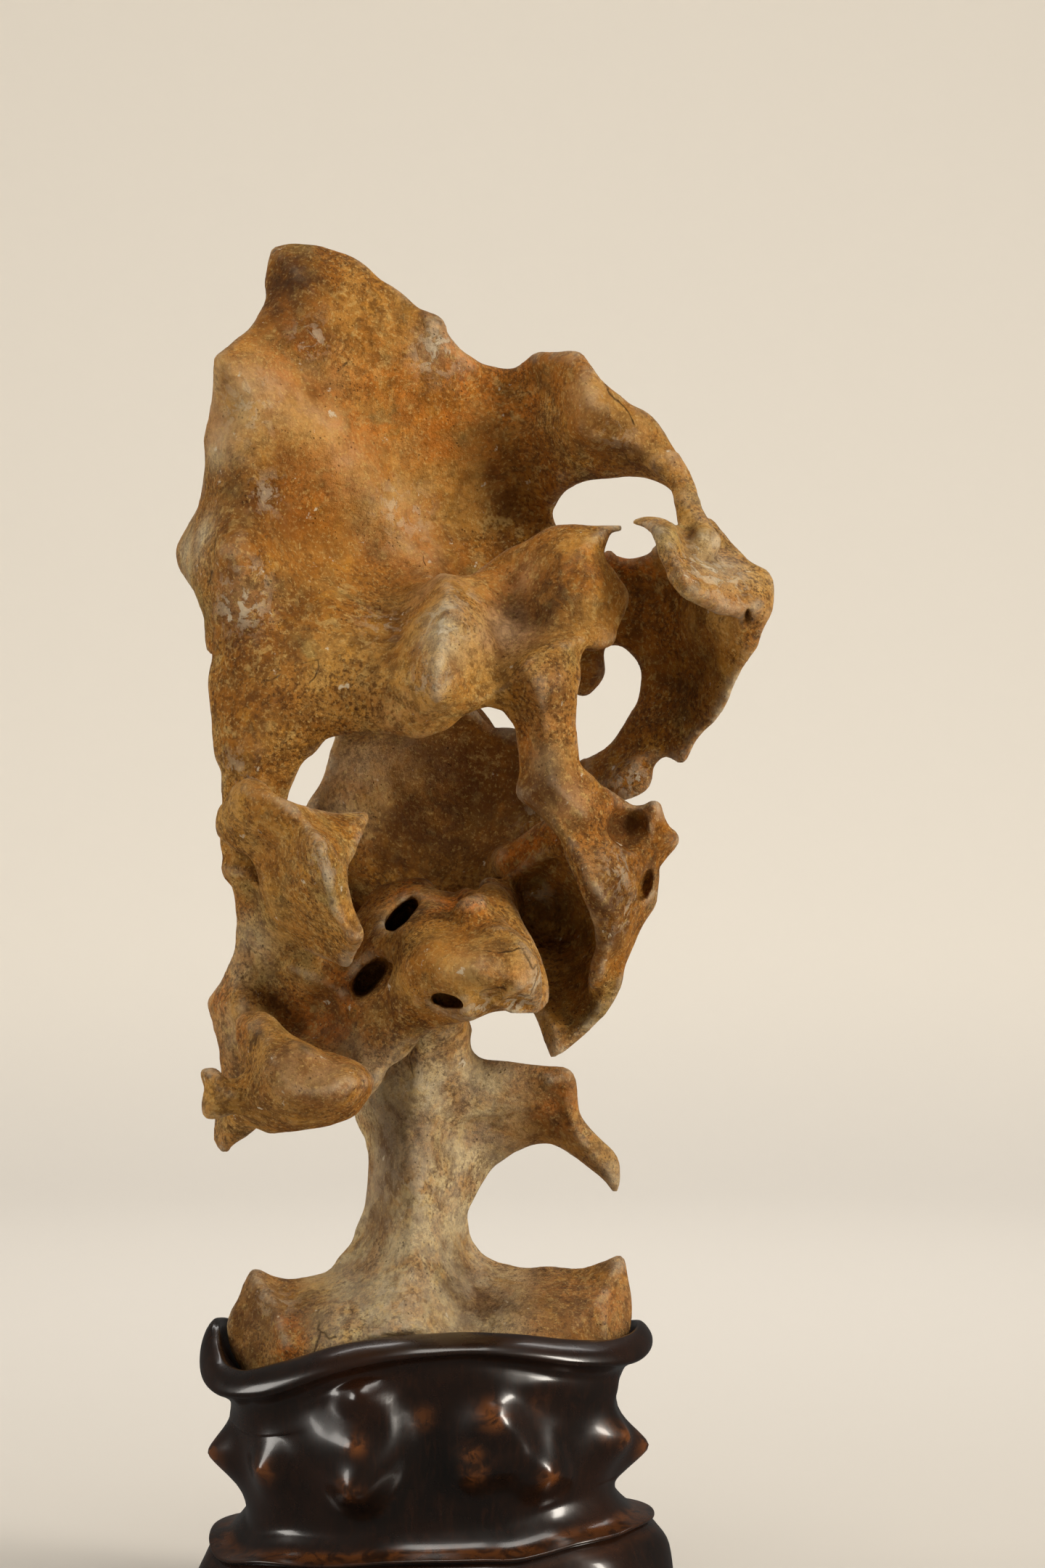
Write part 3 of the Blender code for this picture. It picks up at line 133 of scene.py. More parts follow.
def blend_union(a, b, reach):
    """The smaller of both, less (reach - |a - b|) squared / (4 reach) where that is above zero."""
    h = np.maximum(reach - np.abs(a - b), 0) / reach
    return np.minimum(a, b) - h * h * reach * 0.25


def blend_cut(a, b, reach):
    """What lies inside both: the union turned inside out."""
    return -blend_union(-a, -b, reach)


def round_both(a, b, radius):
    """What lies inside both, the edge rolled over: the length of (a + radius, b + radius), less the radius."""
    u = np.maximum(a + radius, 0)
    v = np.maximum(b + radius, 0)
    return np.minimum(np.maximum(a, b), -radius) + np.sqrt(u * u + v * v)


print("a plain union of 2 and 3:", min(2, 3), "and a blended one:", float(blend_union(2.0, 3.0, 8.0)))

# %% [markdown]
# Outlines are drawn through a few points with a curve that passes through all of them, and the distance to
# such an outline is taken at every place of the grid at once.

# %% Curves and outlines


def curve_through(points, closed, steps=6):
    """A smooth curve through the points: the Catmull-Rom cubic, steps samples to a span."""
    p = np.asarray(points, float)
    count = len(p)
    out = []
    for i in range(count if closed else count - 1):
        if closed:
            a, b, c, d = p[i - 1], p[i], p[(i + 1) % count], p[(i + 2) % count]
        else:
            a, b, c, d = p[max(i - 1, 0)], p[i], p[i + 1], p[min(i + 2, count - 1)]
        t = np.linspace(0, 1, steps, endpoint=False)[:, None]
        bend = (2 * a - 5 * b + 4 * c - d) * t**2 + (3 * b - a - 3 * c + d) * t**3
        out.append(0.5 * (2 * b + (c - a) * t + bend))
    if not closed:
        out.append(p[-1:])
    return np.concatenate(out)


def line_distance_squared(x, z, line):
    """Squared distance from every (x, z) to the nearest piece of the line."""
    best = np.full(x.shape, 1e9)
    for (ax, az), (bx, bz) in zip(line[:-1], line[1:]):
        ex, ez = bx - ax, bz - az
        t = np.clip(((x - ax) * ex + (z - az) * ez) / (ex * ex + ez * ez + 1e-9), 0, 1)
        best = np.minimum(best, (x - ax - t * ex) ** 2 + (z - az - t * ez) ** 2)
    return best


def outline_distance(x, z, loop):
    """Distance to a closed outline, below zero inside it: there a ray to the side crosses it an odd number
    of times."""
    inside = np.zeros(x.shape, bool)
    for (ax, az), (bx, bz) in zip(loop, np.roll(loop, -1, 0)):
        if az != bz:
            crossing = ax + (z - az) / (bz - az) * (bx - ax)
            inside ^= ((az > z) != (bz > z)) & (x < crossing)
    far = np.sqrt(line_distance_squared(x, z, np.vstack([loop, loop[:1]])))
    return np.where(inside, -far, far)


def smooth_surface(points, values, x, z):
    """A smooth height over the plane through scattered values: w0 + w1 x + w2 z + sum of w r cubed."""
    scale = 100.0
    q = np.asarray(points, float) / scale
    count = len(q)
    apart = ((q[:, None] - q[None]) ** 2).sum(-1)
    system = np.zeros((count + 3, count + 3))
    system[:count, :count] = (apart + 1e-12) ** 1.5
    system[:count, count] = 1
    system[:count, count + 1:] = q
    system[count, :count] = 1
    system[count + 1:, :count] = q.T
    w = np.linalg.solve(system, np.concatenate([np.asarray(values, float), np.zeros(3)]))
    out = w[count] + w[count + 1] * x / scale + w[count + 2] * z / scale
    for i in range(count):
        out = out + w[i] * ((x / scale - q[i, 0]) ** 2 + (z / scale - q[i, 1]) ** 2 + 1e-12) ** 1.5
    return out


print("four points become", len(curve_through([(0, 0), (1, 0), (1, 1), (0, 1)], True)), "on the curve")

# %% [markdown]
# ## Sheets
# Most of the stone is made of bent plates. A sheet has an outline seen from the front, a face that passes
# through chosen depths, and a thickness that thins toward the outline. Crests raise lines on its face, as the
# ridges between two hollows.

# %% Sheet
SHARP_CRESTS = 8             # mm, narrower crests come to an edge
EDGE_ROLL = 8.0              # mm, the widest rounding of an edge
SHEET_MARGIN = 14.0          # mm, how far round its outline a sheet is worked out
THINNEST = 6


def sheet(outline, relief, thick, edge=3.0, taper=14.0, blend=8.0, thick_points=None, crests=()):
    """Depth of the face = smooth surface - crests. Half thickness =
    edge + (thick / 2 - edge) (1 - exp(-d / taper)), where d is how far inside the outline a place lies.
    A narrow crest comes to an edge, exp(-distance / width), and a wide one is a bell curve."""
    loop = curve_through([at(*p) for p in outline], True)
    low, high = loop.min(0) - SHEET_MARGIN, loop.max(0) + SHEET_MARGIN
    ix = np.where((across >= low[0]) & (across <= high[0]))[0]
    iz = np.where((upward >= low[1]) & (upward <= high[1]))[0]
    x, z = flat_x[np.ix_(ix, iz)], flat_z[np.ix_(ix, iz)]
    flat = outline_distance(x, z, loop)
    front = smooth_surface([at(p[0], p[1]) for p in relief], [p[2] for p in relief], x, z)
    for line, height, width in crests:
        near = line_distance_squared(x, z, curve_through([at(*p) for p in line], False, 5))
        sharp = np.exp(-np.sqrt(near + 0.8) / width)
        soft = np.exp(-near / (2 * width * width))
        front = front - height * (sharp if width < SHARP_CRESTS else soft)
    full = np.full(x.shape, float(thick))
    if thick_points is not None:
        full = smooth_surface([at(p[0], p[1]) for p in thick_points], [p[2] for p in thick_points], x, z)
        full = np.clip(full, THINNEST, None)
    half = edge + (full / 2 - edge) * (1 - np.exp(-np.clip(-flat, 0, None) / taper))
    middle = front + full / 2
    gx, gz = np.gradient(middle, VOXEL)
    slope = np.sqrt(1 + gx * gx + gz * gz)
    cols = np.where(flat < SHEET_MARGIN)
    i, j = ix[cols[0]], iz[cols[1]]
    h, s = (half / slope)[cols][:, None], slope[cols][:, None]
    slab = np.abs(depths[None, :] - middle[cols][:, None]) / s - h
    shape = round_both(np.broadcast_to(flat[cols][:, None], slab.shape), slab, np.minimum(h, EDGE_ROLL))
    field[i, j, :] = blend_union(field[i, j, :], shape.astype(np.float32), blend)
    print("sheet:", len(i), "columns of voxels,", litres(), "litres of stone so far")


# %% [markdown]
# ## Limbs, lumps and scoops
# A limb is a round branch whose radius changes along a curve. A lump is an ellipsoid that is added, and a
# scoop is one that is taken away: a hollow, a pit or a hole right through.

# %% Limb, lump and scoop


def near_part(low, high):
    """The part of the block between two corners, as three slices."""
    part = []
    for axis, a, b in zip((across, upward, depths), low, high):
        i = np.where((axis >= a) & (axis <= b))[0]
        part.append(slice(i[0], i[-1] + 1))
    return tuple(part)


def ellipsoid(center, radii, turn):
    """With k the length of (x / a, z / b, y / c), the distance is about k (k - 1) over the steepness of k."""
    c = np.array([*at(center[0], center[1]), center[2]])
    part = near_part(c - max(radii) - 20, c + max(radii) + 20)
    x = across[part[0]][:, None, None] - c[0]
    z = upward[part[1]][None, :, None] - c[1]
    y = depths[part[2]][None, None, :] - c[2]
    a = np.radians(turn)
    p = (x * np.cos(a) + z * np.sin(a)) / radii[0]
    q = (z * np.cos(a) - x * np.sin(a)) / radii[1]
    r = y / radii[2]
    k = np.sqrt(p * p + q * q + r * r)
    steep = np.sqrt((p / radii[0]) ** 2 + (q / radii[1]) ** 2 + (r / radii[2]) ** 2) + 1e-9
    return part, (k * (k - 1) / steep).astype(np.float32)


def lump(center, radii, turn=0.0, blend=8.0):
    """Adds an ellipsoid, turned by so many degrees in the picture plane."""
    part, shape = ellipsoid(center, radii, turn)
    field[part] = blend_union(field[part], shape, blend)


def scoop(center, radii, turn=0.0, blend=6.0):
    """Takes an ellipsoid away."""
    part, shape = ellipsoid(center, radii, turn)
    field[part] = blend_cut(field[part], -shape, blend)


def limb(points, blend=8.0):
    """The distance to the nearest piece of a curve through (px, py, depth, radius), less the radius there."""
    p = curve_through([(*at(q[0], q[1]), q[2], q[3]) for q in points], False, 5)
    reach = p[:, 3].max() + 14
    part = near_part(p[:, :3].min(0) - reach, p[:, :3].max(0) + reach)
    x = across[part[0]][:, None, None]
    z = upward[part[1]][None, :, None]
    y = depths[part[2]][None, None, :]
    best = np.full(field[part].shape, 1e3, np.float32)
    for a, b in zip(p[:-1], p[1:]):
        d = b[:3] - a[:3]
        t = np.clip(((x - a[0]) * d[0] + (z - a[1]) * d[1] + (y - a[2]) * d[2]) / (d @ d + 1e-9), 0, 1)
        far = np.sqrt((x - a[0] - t * d[0]) ** 2 + (z - a[1] - t * d[1]) ** 2 + (y - a[2] - t * d[2]) ** 2)
        best = np.minimum(best, far - a[3] - t * (b[3] - a[3]))
    field[part] = blend_union(field[part], best, blend)


print("the block's corner is at", across[0], upward[0], depths[0])

# %% [markdown]
# ## The inner bowl
# Behind the great arch lies a bowl, the deepest part of the stone. It is a sheet whose face bulges away from
# the eye, and a crest along its left edge catches the light.

# %% The inner bowl
sheet([(461, 1019), (450, 1060), (434, 1100), (420, 1150), (400, 1200), (385, 1250), (400, 1300), (450, 1325),
       (500, 1330), (560, 1310), (640, 1280), (700, 1250), (760, 1215), (795, 1150), (790, 1080), (760, 1035),
       (712, 1007), (682, 1003), (665, 990), (648, 972), (600, 945), (540, 930), (490, 950)],
      [(461, 1019, 10), (540, 960, 6), (648, 980, 22), (700, 1007, 24), (434, 1100, 12), (520, 1080, 30),
       (600, 1100, 40), (700, 1080, 34), (780, 1100, 20), (520, 1180, 26), (600, 1190, 34), (700, 1180, 28),
       (760, 1190, 12), (450, 1200, 4), (400, 1260, -18), (470, 1300, -14), (560, 1280, 4), (640, 1260, 14)],
      thick=18, edge=3.5, taper=12,
      crests=[([(461, 1019), (445, 1070), (425, 1140)], 5, 6)])

# %% [markdown]
# ## The lower bowl
# Below it hangs a second bowl that ends in a point. Its face tilts toward the eye as it comes down.

# %% The lower bowl
sheet([(669, 1226), (691, 1222), (705, 1209), (722, 1193), (742, 1180), (764, 1173), (786, 1182), (812, 1202),
       (840, 1250), (850, 1326), (851, 1351), (840, 1377), (817, 1407), (787, 1438), (766, 1454), (758, 1452),
       (748, 1417), (733, 1389), (710, 1360), (685, 1310)],
      [(680, 1240, 4), (691, 1222, 0), (742, 1180, -8), (764, 1173, -12), (790, 1184, -20), (720, 1225, 6),
       (770, 1225, 4), (750, 1290, 12), (700, 1310, -6), (800, 1280, 0), (740, 1370, -22), (790, 1360, -20),
       (840, 1340, -36), (764, 1445, -36), (820, 1400, -40), (830, 1260, -16), (775, 1400, -30)], thick=17,
      edge=2.5, taper=12,
      crests=[([(740, 1385), (762, 1415), (768, 1450)], 3, 4), ([(850, 1330), (820, 1400),
              (775, 1445)], 4, 5)])

# %% [markdown]
# ## The branch on the far right
# A branch swings round on the right, behind two openings. Its outline is seen from the front, and the depths
# let it turn away.

# %% The branch on the far right
sheet([(800, 1052), (812, 1045), (837, 1030), (860, 1004), (877, 970), (883, 935), (877, 910), (860, 892),
       (837, 887), (810, 880), (800, 840), (815, 790), (837, 761), (847, 767), (862, 772), (878, 771),
       (893, 765), (907, 750), (930, 740), (975, 740), (1004, 758), (1032, 784), (1050, 799), (1055, 817),
       (1052, 851), (1041, 886), (1032, 901), (1012, 941), (992, 981), (961, 1013), (950, 1032), (941, 1048),
       (923, 1041), (909, 1044), (897, 1059), (892, 1082), (872, 1095), (849, 1097), (825, 1085)],
      [(837, 765, -6), (880, 800, 4), (850, 850, 6), (900, 850, 4), (930, 850, -6), (960, 860, -24),
       (1000, 860, -42), (1040, 850, -50), (1040, 815, -44), (1020, 900, -44), (1000, 940, -34),
       (950, 950, -8), (900, 980, 0), (940, 1030, -14), (870, 1060, -2), (870, 1085, -8), (820, 1060, 8),
       (975, 1000, -24), (907, 755, -14), (920, 900, -2), (960, 910, -14)], thick=16, edge=2.5, taper=10,
      crests=[([(830, 1085), (865, 1062), (885, 1045), (900, 1040)], 4, 4), ([(1040, 840), (1010, 890),
              (985, 950), (960, 1010)], 3, 6)])

# %% [markdown]
# ## Neck and foot
# The whole stone stands on a narrow neck, which spreads into the foot. It is much thicker at the bottom, so
# the thickness is itself a smooth surface through a few values.

# %% Neck and foot
sheet([(520, 1430), (560, 1385), (610, 1385), (626, 1417), (634, 1440), (659, 1456), (690, 1462), (741, 1468),
       (776, 1472), (790, 1484), (794, 1514), (802, 1540), (820, 1565), (843, 1586), (853, 1606), (853, 1635),
       (846, 1642), (833, 1627), (812, 1609), (792, 1593), (761, 1578), (731, 1580), (690, 1596), (664, 1621),
       (647, 1650), (641, 1670), (644, 1690), (656, 1713), (680, 1734), (715, 1747), (761, 1751), (802, 1751),
       (833, 1741), (856, 1733), (863, 1757), (868, 1783), (869, 1815), (864, 1900), (850, 1960), (400, 1960),
       (340, 1920), (318, 1870), (315, 1849), (315, 1823), (328, 1793), (338, 1767), (350, 1750), (373, 1760),
       (404, 1764), (445, 1755), (470, 1733), (491, 1701), (506, 1660), (511, 1614), (506, 1568), (491, 1528),
       (495, 1480)],
      [(570, 1400, -14), (560, 1500, -17), (565, 1600, -17), (515, 1560, 0), (640, 1560, -4),
       (600, 1700, -22), (600, 1800, -34), (500, 1700, -8), (450, 1800, -34), (450, 1900, -46),
       (760, 1800, -28), (760, 1900, -44), (600, 1900, -48), (345, 1770, -12), (330, 1900, -26),
       (850, 1900, -24), (850, 1755, -12), (720, 1500, -14), (780, 1490, -18), (785, 1550, -10),
       (845, 1625, -8), (660, 1530, -8), (700, 1760, -12), (740, 1560, -4), (395, 1790, -22),
       (365, 1840, -24), (560, 1760, -30)], thick=34, edge=4, taper=12,
      crests=[([(600, 1430), (565, 1500), (552, 1600), (560, 1680), (562, 1760), (556, 1850)], 6, 10),
              ([(636, 1720), (654, 1780), (656, 1850)], -5, 9), ([(705, 1765), (725, 1850)], 4, 9),
              ([(760, 1485), (790, 1490), (786, 1530), (800, 1570), (840, 1625)], 4, 6), ([(350, 1758),
              (378, 1798), (392, 1850)], 6, 5), ([(855, 1745), (835, 1790), (835, 1850)], 5, 6)],
      thick_points=[(570, 1400, 34), (570, 1550, 36), (600, 1680, 44), (600, 1800, 68), (450, 1850, 72),
                    (760, 1850, 66), (340, 1780, 30), (860, 1750, 26), (330, 1940, 44), (860, 1940, 40),
                    (600, 1940, 92), (720, 1520, 26), (785, 1500, 24), (845, 1620, 16)])

# %% [markdown]
# ## The upper wall
# The largest sheet is the broad wall at the top, with its horn on the left, a fold across it and a lump on
# the right. Most of the relief points are here.

# %% The upper wall
sheet([(375, 349), (385, 342), (421, 339), (453, 346), (487, 360), (521, 386), (556, 409), (590, 429),
       (610, 441), (619, 464), (636, 487), (671, 507), (705, 508), (728, 498), (745, 489), (791, 487),
       (808, 498), (829, 524), (860, 553), (897, 578), (918, 610), (932, 639), (946, 667), (958, 705),
       (978, 728), (970, 745), (945, 735), (940, 712), (938, 693), (926, 673), (900, 659), (866, 654),
       (837, 659), (797, 664), (774, 676), (760, 696), (757, 715), (765, 760), (750, 830), (700, 900),
       (640, 960), (600, 1000), (545, 1010), (487, 1013), (452, 1017), (430, 1036), (412, 1056), (398, 1090),
       (385, 1150), (370, 1220), (340, 1240), (320, 1215), (312, 1193), (308, 1150), (306, 1096), (303, 1067),
       (295, 1039), (292, 987), (286, 947), (289, 918), (298, 878), (293, 855), (274, 820), (253, 782),
       (246, 760), (253, 741), (269, 711), (275, 694), (283, 644), (286, 598), (295, 547), (298, 501),
       (303, 489), (338, 464), (355, 441), (366, 415), (372, 380)],
      [(385, 350, -2), (430, 350, -6), (400, 430, -16), (470, 420, -10), (560, 430, -6), (310, 490, -26),
       (297, 600, -24), (310, 620, -30), (300, 750, -40), (252, 762, -4), (275, 700, -14), (320, 900, -48),
       (310, 1000, -50), (310, 1150, -48), (370, 1180, -42), (400, 1050, -52), (350, 540, -24),
       (440, 560, -12), (540, 560, 0), (640, 560, 4), (700, 560, 6), (380, 640, -30), (450, 650, -14),
       (400, 720, -24), (480, 720, -6), (540, 780, 2), (600, 740, 14), (660, 700, 20), (720, 700, 22),
       (560, 850, -28), (400, 850, -42), (480, 850, -38), (450, 950, -54), (520, 950, -56), (600, 960, -60),
       (680, 850, -10), (640, 790, 6), (750, 780, 14), (775, 540, -14), (850, 575, -26), (800, 590, -22),
       (745, 610, 4), (830, 630, -12), (890, 620, -18), (935, 660, -16), (955, 715, -24), (850, 650, -10),
       (770, 670, 4), (620, 470, -6), (690, 530, 6), (745, 500, -4), (740, 560, 4)], thick=30, edge=3.5,
      taper=16,
      crests=[([(405, 345), (430, 410), (425, 460)], 4, 8), ([(300, 490), (330, 520), (430, 590), (500, 660),
              (560, 760)], 9, 9), ([(300, 500), (292, 600), (300, 700), (302, 770), (298, 870)], 5, 6),
              ([(600, 440), (620, 480), (650, 505)], 3, 6), ([(760, 495), (800, 530), (860, 580),
              (915, 640)], 5, 8), ([(775, 655), (830, 640), (900, 640), (935, 670)], 4, 5)])

# %% [markdown]
# ## The wall behind
# On the left, a wall joins the upper stone to the neck. It lies behind the fins, and is seen between them.

# %% The wall behind
sheet([(320, 1195), (322, 1218), (328, 1264), (328, 1295), (322, 1320), (310, 1346), (296, 1369), (289, 1384),
       (297, 1412), (304, 1443), (307, 1473), (315, 1520), (360, 1540), (430, 1520), (500, 1480), (560, 1440),
       (600, 1400), (590, 1330), (540, 1290), (480, 1270), (420, 1240), (370, 1190)],
      [(295, 1385, -22), (325, 1385, -36), (335, 1300, -34), (330, 1230, -44), (380, 1250, -42),
       (420, 1320, -42), (370, 1370, -30), (430, 1350, -42), (450, 1420, -38), (400, 1440, -34),
       (520, 1400, -52), (500, 1300, -34), (560, 1340, -46), (560, 1430, -56), (310, 1450, -30),
       (400, 1500, -40), (480, 1490, -54), (440, 1385, -34)], thick=22, edge=3, taper=12,
      crests=[([(400, 1335), (440, 1345), (475, 1370)], 3, 4), ([(295, 1390), (320, 1370),
              (328, 1310)], 3, 5)])

# %% [markdown]
# ## The little bridge
# A thin bridge crosses in front of the bowl. It is blended more tightly than the rest, to keep it thin.

# %% The little bridge
sheet([(470, 1345), (476, 1300), (494, 1264), (520, 1238), (552, 1224), (586, 1216), (598, 1227), (615, 1231),
       (630, 1233), (642, 1229), (652, 1238), (655, 1250), (650, 1275), (600, 1300), (550, 1320),
       (520, 1345)],
      [(485, 1320, -38), (510, 1270, -30), (555, 1235, -26), (586, 1222, -24), (625, 1245, -40),
       (647, 1240, -46), (600, 1262, -56), (555, 1290, -62), (520, 1320, -50)], thick=14, edge=3, taper=6,
      blend=6,
      crests=[([(505, 1270), (545, 1236), (586, 1222), (600, 1262)], 2.5, 3)])
# the orange bridge from the inner bowl to the lobe
sheet([(688, 1181), (702, 1166), (724, 1149), (746, 1133), (770, 1126), (808, 1140), (808, 1182), (774, 1174),
       (746, 1185), (722, 1196), (700, 1208), (690, 1203)],
      [(692, 1192, 10), (722, 1168, 0), (746, 1152, -6), (775, 1148, -14), (805, 1158, -26), (700, 1180, 7)],
      thick=13, edge=4, taper=6, blend=5)
limb([(702, 1186, 14, 5), (696, 1190, 30, 7)], blend=5)
# rubble behind the hole in the saddle
lump((556, 1258, -8), (15, 13, 13), blend=6)

# %% [markdown]
# ## The hump of the tongue
# The tongue starts in a hump behind it.

# %% The hump of the tongue
sheet([(628, 1272), (650, 1254), (664, 1241), (672, 1226), (680, 1226), (692, 1234), (710, 1257), (729, 1290),
       (743, 1317), (752, 1345), (754, 1380), (735, 1395), (690, 1385), (640, 1330)],
      [(640, 1270, -60), (664, 1245, -48), (676, 1228, -42), (710, 1262, -52), (740, 1320, -60),
       (748, 1370, -64), (680, 1300, -70)], thick=14, edge=2.5, taper=6, blend=4)

# %% [markdown]
# ## The tongue
# The tongue sticks out toward the eye. Its lower right edge is a sharp worn crest.

# %% The tongue
sheet([(470, 1400), (520, 1380), (545, 1300), (552, 1281), (567, 1271), (598, 1267), (632, 1267), (665, 1262),
       (690, 1268), (703, 1279), (725, 1298), (735, 1317), (740, 1334), (746, 1369), (743, 1384), (731, 1389),
       (710, 1389), (683, 1390), (657, 1400), (640, 1405), (609, 1412), (582, 1422), (570, 1438), (556, 1452),
       (535, 1472), (518, 1500), (490, 1520), (450, 1500)],
      [(552, 1285, -66), (600, 1280, -74), (650, 1285, -80), (700, 1288, -86), (732, 1320, -94),
       (740, 1378, -84), (690, 1385, -84), (680, 1340, -100), (620, 1330, -92), (560, 1340, -76),
       (600, 1400, -72), (650, 1398, -84), (545, 1400, -60), (500, 1440, -50), (480, 1490, -56),
       (525, 1475, -58), (640, 1370, -90)], thick=28, edge=4, taper=7, blend=4,
      crests=[([(648, 1400), (690, 1376), (720, 1356), (733, 1335), (727, 1312), (714, 1293), (698, 1281),
              (672, 1276)], 8, 4), ([(641, 1378), (648, 1401)], 4, 3), ([(690, 1320), (680, 1350)], -3, 12),
              ([(552, 1285), (560, 1330), (575, 1380)], 4, 6), ([(620, 1410), (560, 1440),
              (515, 1495)], 3, 5)])

# %% [markdown]
# ## The front arch
# The arch and its pillar are the nearest large forms. A nose stands out on the left, where the arch leaves
# the wall, and the pillar runs down to a ragged knot.

# %% The front arch
sheet([(520, 900), (560, 840), (590, 808), (604, 796), (619, 795), (640, 795), (659, 788), (700, 759),
       (728, 742), (760, 727), (790, 725), (820, 726), (852, 728), (841, 733), (837, 744), (835, 762),
       (838, 775), (850, 793), (862, 811), (864, 827), (859, 848), (850, 866), (838, 882), (820, 886),
       (807, 891), (797, 912), (791, 958), (791, 1010), (797, 1050), (815, 1072), (831, 1090), (866, 1108),
       (885, 1109), (898, 1103), (909, 1106), (914, 1122), (920, 1140), (931, 1154), (926, 1168), (915, 1182),
       (906, 1199), (908, 1240), (897, 1260), (872, 1291), (850, 1322), (835, 1350), (815, 1350), (822, 1300),
       (815, 1264), (800, 1222), (787, 1185), (774, 1153), (740, 1119), (717, 1100), (713, 1085), (717, 1060),
       (712, 1010), (700, 985), (682, 974), (654, 973), (625, 981), (600, 992), (560, 1000), (500, 960)],
      [(617, 800, -40), (612, 850, -58), (604, 905, -70), (600, 960, -70), (560, 860, -34), (530, 900, -42),
       (545, 950, -54), (580, 850, -44), (650, 880, -58), (665, 830, -44), (700, 800, -32), (740, 745, -34),
       (780, 740, -42), (760, 800, -44), (820, 760, -48), (855, 830, -44), (720, 870, -44), (790, 870, -56),
       (680, 940, -62), (740, 920, -66), (750, 1000, -66), (755, 1060, -66), (740, 1095, -62),
       (800, 1110, -66), (870, 1140, -48), (905, 1115, -52), (928, 1156, -46), (840, 1190, -66),
       (800, 1190, -70), (830, 1260, -66), (842, 1310, -54), (895, 1220, -48), (870, 1270, -48),
       (846, 729, -46)], thick=28, edge=4, taper=10, blend=18,
      crests=[([(619, 800), (614, 850), (603, 910), (600, 960)], 9, 6), ([(722, 1095), (756, 1125),
              (784, 1163), (806, 1200), (828, 1235), (850, 1262), (846, 1300)], 6, 5), ([(905, 1110),
              (925, 1155)], 4, 4), ([(872, 1110), (890, 1120), (897, 1142)], 4, 4), ([(640, 975), (690, 950),
              (740, 905), (800, 885)], 4, 7), ([(752, 1000), (748, 940)], 3, 6), ([(745, 745), (800, 770),
              (850, 830)], 4, 8)])

# %% [markdown]
# ## The fin on the right
# A fin with a rolled rim turns outward on the right.

# %% The fin on the right
sheet([(872, 720), (882, 714), (893, 711), (911, 713), (936, 724), (975, 733), (1004, 756), (1032, 782),
       (1050, 797), (1055, 817), (1052, 840), (1040, 846), (1010, 846), (985, 840), (950, 826), (936, 815),
       (924, 799), (921, 784), (911, 762), (905, 744), (893, 729)],
      [(875, 721, -52), (920, 730, -58), (930, 780, -66), (955, 800, -68), (985, 825, -66), (1045, 830, -56),
       (1000, 770, -48), (960, 745, -42), (1020, 840, -60)], thick=20, edge=3, taper=8, blend=10,
      crests=[([(915, 745), (935, 785), (965, 818), (1000, 838), (1030, 840), (1050, 828)], 6, 4)])

# %% [markdown]
# ## The fin on the left
# A thin fin, its ridge sharp enough to shine, divides the left side.

# %% The fin on the left
sheet([(330, 1095), (345, 1083), (360, 1086), (385, 1096), (410, 1106), (440, 1116), (470, 1121), (506, 1121),
       (500, 1140), (490, 1165), (478, 1190), (476, 1220), (480, 1245), (490, 1268), (498, 1290), (490, 1310),
       (480, 1332), (455, 1322), (420, 1303), (395, 1285), (372, 1245), (349, 1176), (331, 1125)],
      [(345, 1095, -72), (400, 1118, -84), (440, 1160, -90), (460, 1210, -92), (475, 1260, -88),
       (488, 1300, -84), (500, 1125, -64), (470, 1150, -76), (440, 1122, -74), (350, 1150, -68),
       (400, 1220, -76), (400, 1280, -60), (450, 1290, -72), (360, 1200, -64), (390, 1170, -74)], thick=22,
      edge=3, taper=9,
      crests=[([(345, 1085), (389, 1100), (419, 1126), (440, 1162), (450, 1198), (460, 1244),
              (486, 1292)], 8, 4)])

# %% [markdown]
# ## The lobe
# A blunt lobe looks out at the lower left, the nearest point of the stone.

# %% The lobe
sheet([(330, 1412), (335, 1403), (348, 1399), (361, 1399), (377, 1406), (394, 1419), (409, 1433), (426, 1447),
       (441, 1454), (462, 1457), (483, 1462), (499, 1471), (508, 1481), (512, 1492), (506, 1507), (497, 1521),
       (487, 1534), (462, 1546), (430, 1555), (398, 1560), (377, 1560), (365, 1555), (354, 1548), (339, 1538),
       (329, 1525), (325, 1511), (329, 1494), (337, 1485), (338, 1471), (335, 1458), (331, 1441)],
      [(345, 1410, -74), (380, 1430, -86), (420, 1480, -100), (480, 1490, -102), (500, 1500, -94),
       (400, 1545, -90), (350, 1520, -84), (340, 1450, -78), (450, 1465, -92), (460, 1530, -98),
       (370, 1480, -94)], thick=34, edge=5, taper=9,
      crests=[([(360, 1405), (395, 1430), (440, 1462), (485, 1470), (505, 1490)], 4, 4), ([(505, 1490),
              (470, 1530), (400, 1545)], 4, 4), ([(375, 1430), (372, 1480), (390, 1520)], 2, 5)])

# %% [markdown]
# ## Knob and spike
# Two small leftovers of the rock, a knob and a spike, sit beside the lobe.

# %% Knob and spike
sheet([(340, 1490), (325, 1488), (310, 1484), (296, 1472), (276, 1476), (282, 1499), (279, 1520), (284, 1537),
       (300, 1537), (325, 1532), (345, 1530)],
      [(280, 1500, -76), (320, 1505, -82), (345, 1505, -80), (290, 1480, -78), (290, 1535, -78)], thick=16,
      edge=2.5, taper=8,
      crests=[([(282, 1478), (286, 1505), (286, 1535)], 2.5, 3)])
sheet([(298, 1530), (296, 1570), (309, 1588), (322, 1577), (348, 1548), (360, 1530), (340, 1500),
       (310, 1500)],
      [(297, 1540, -46), (310, 1580, -50), (340, 1540, -52), (330, 1510, -46)], thick=16, edge=3, taper=8)

# %% [markdown]
# ## What holds it together
# Some parts would hang in the air without stone behind them. Limbs join them where the eye doesn't see.

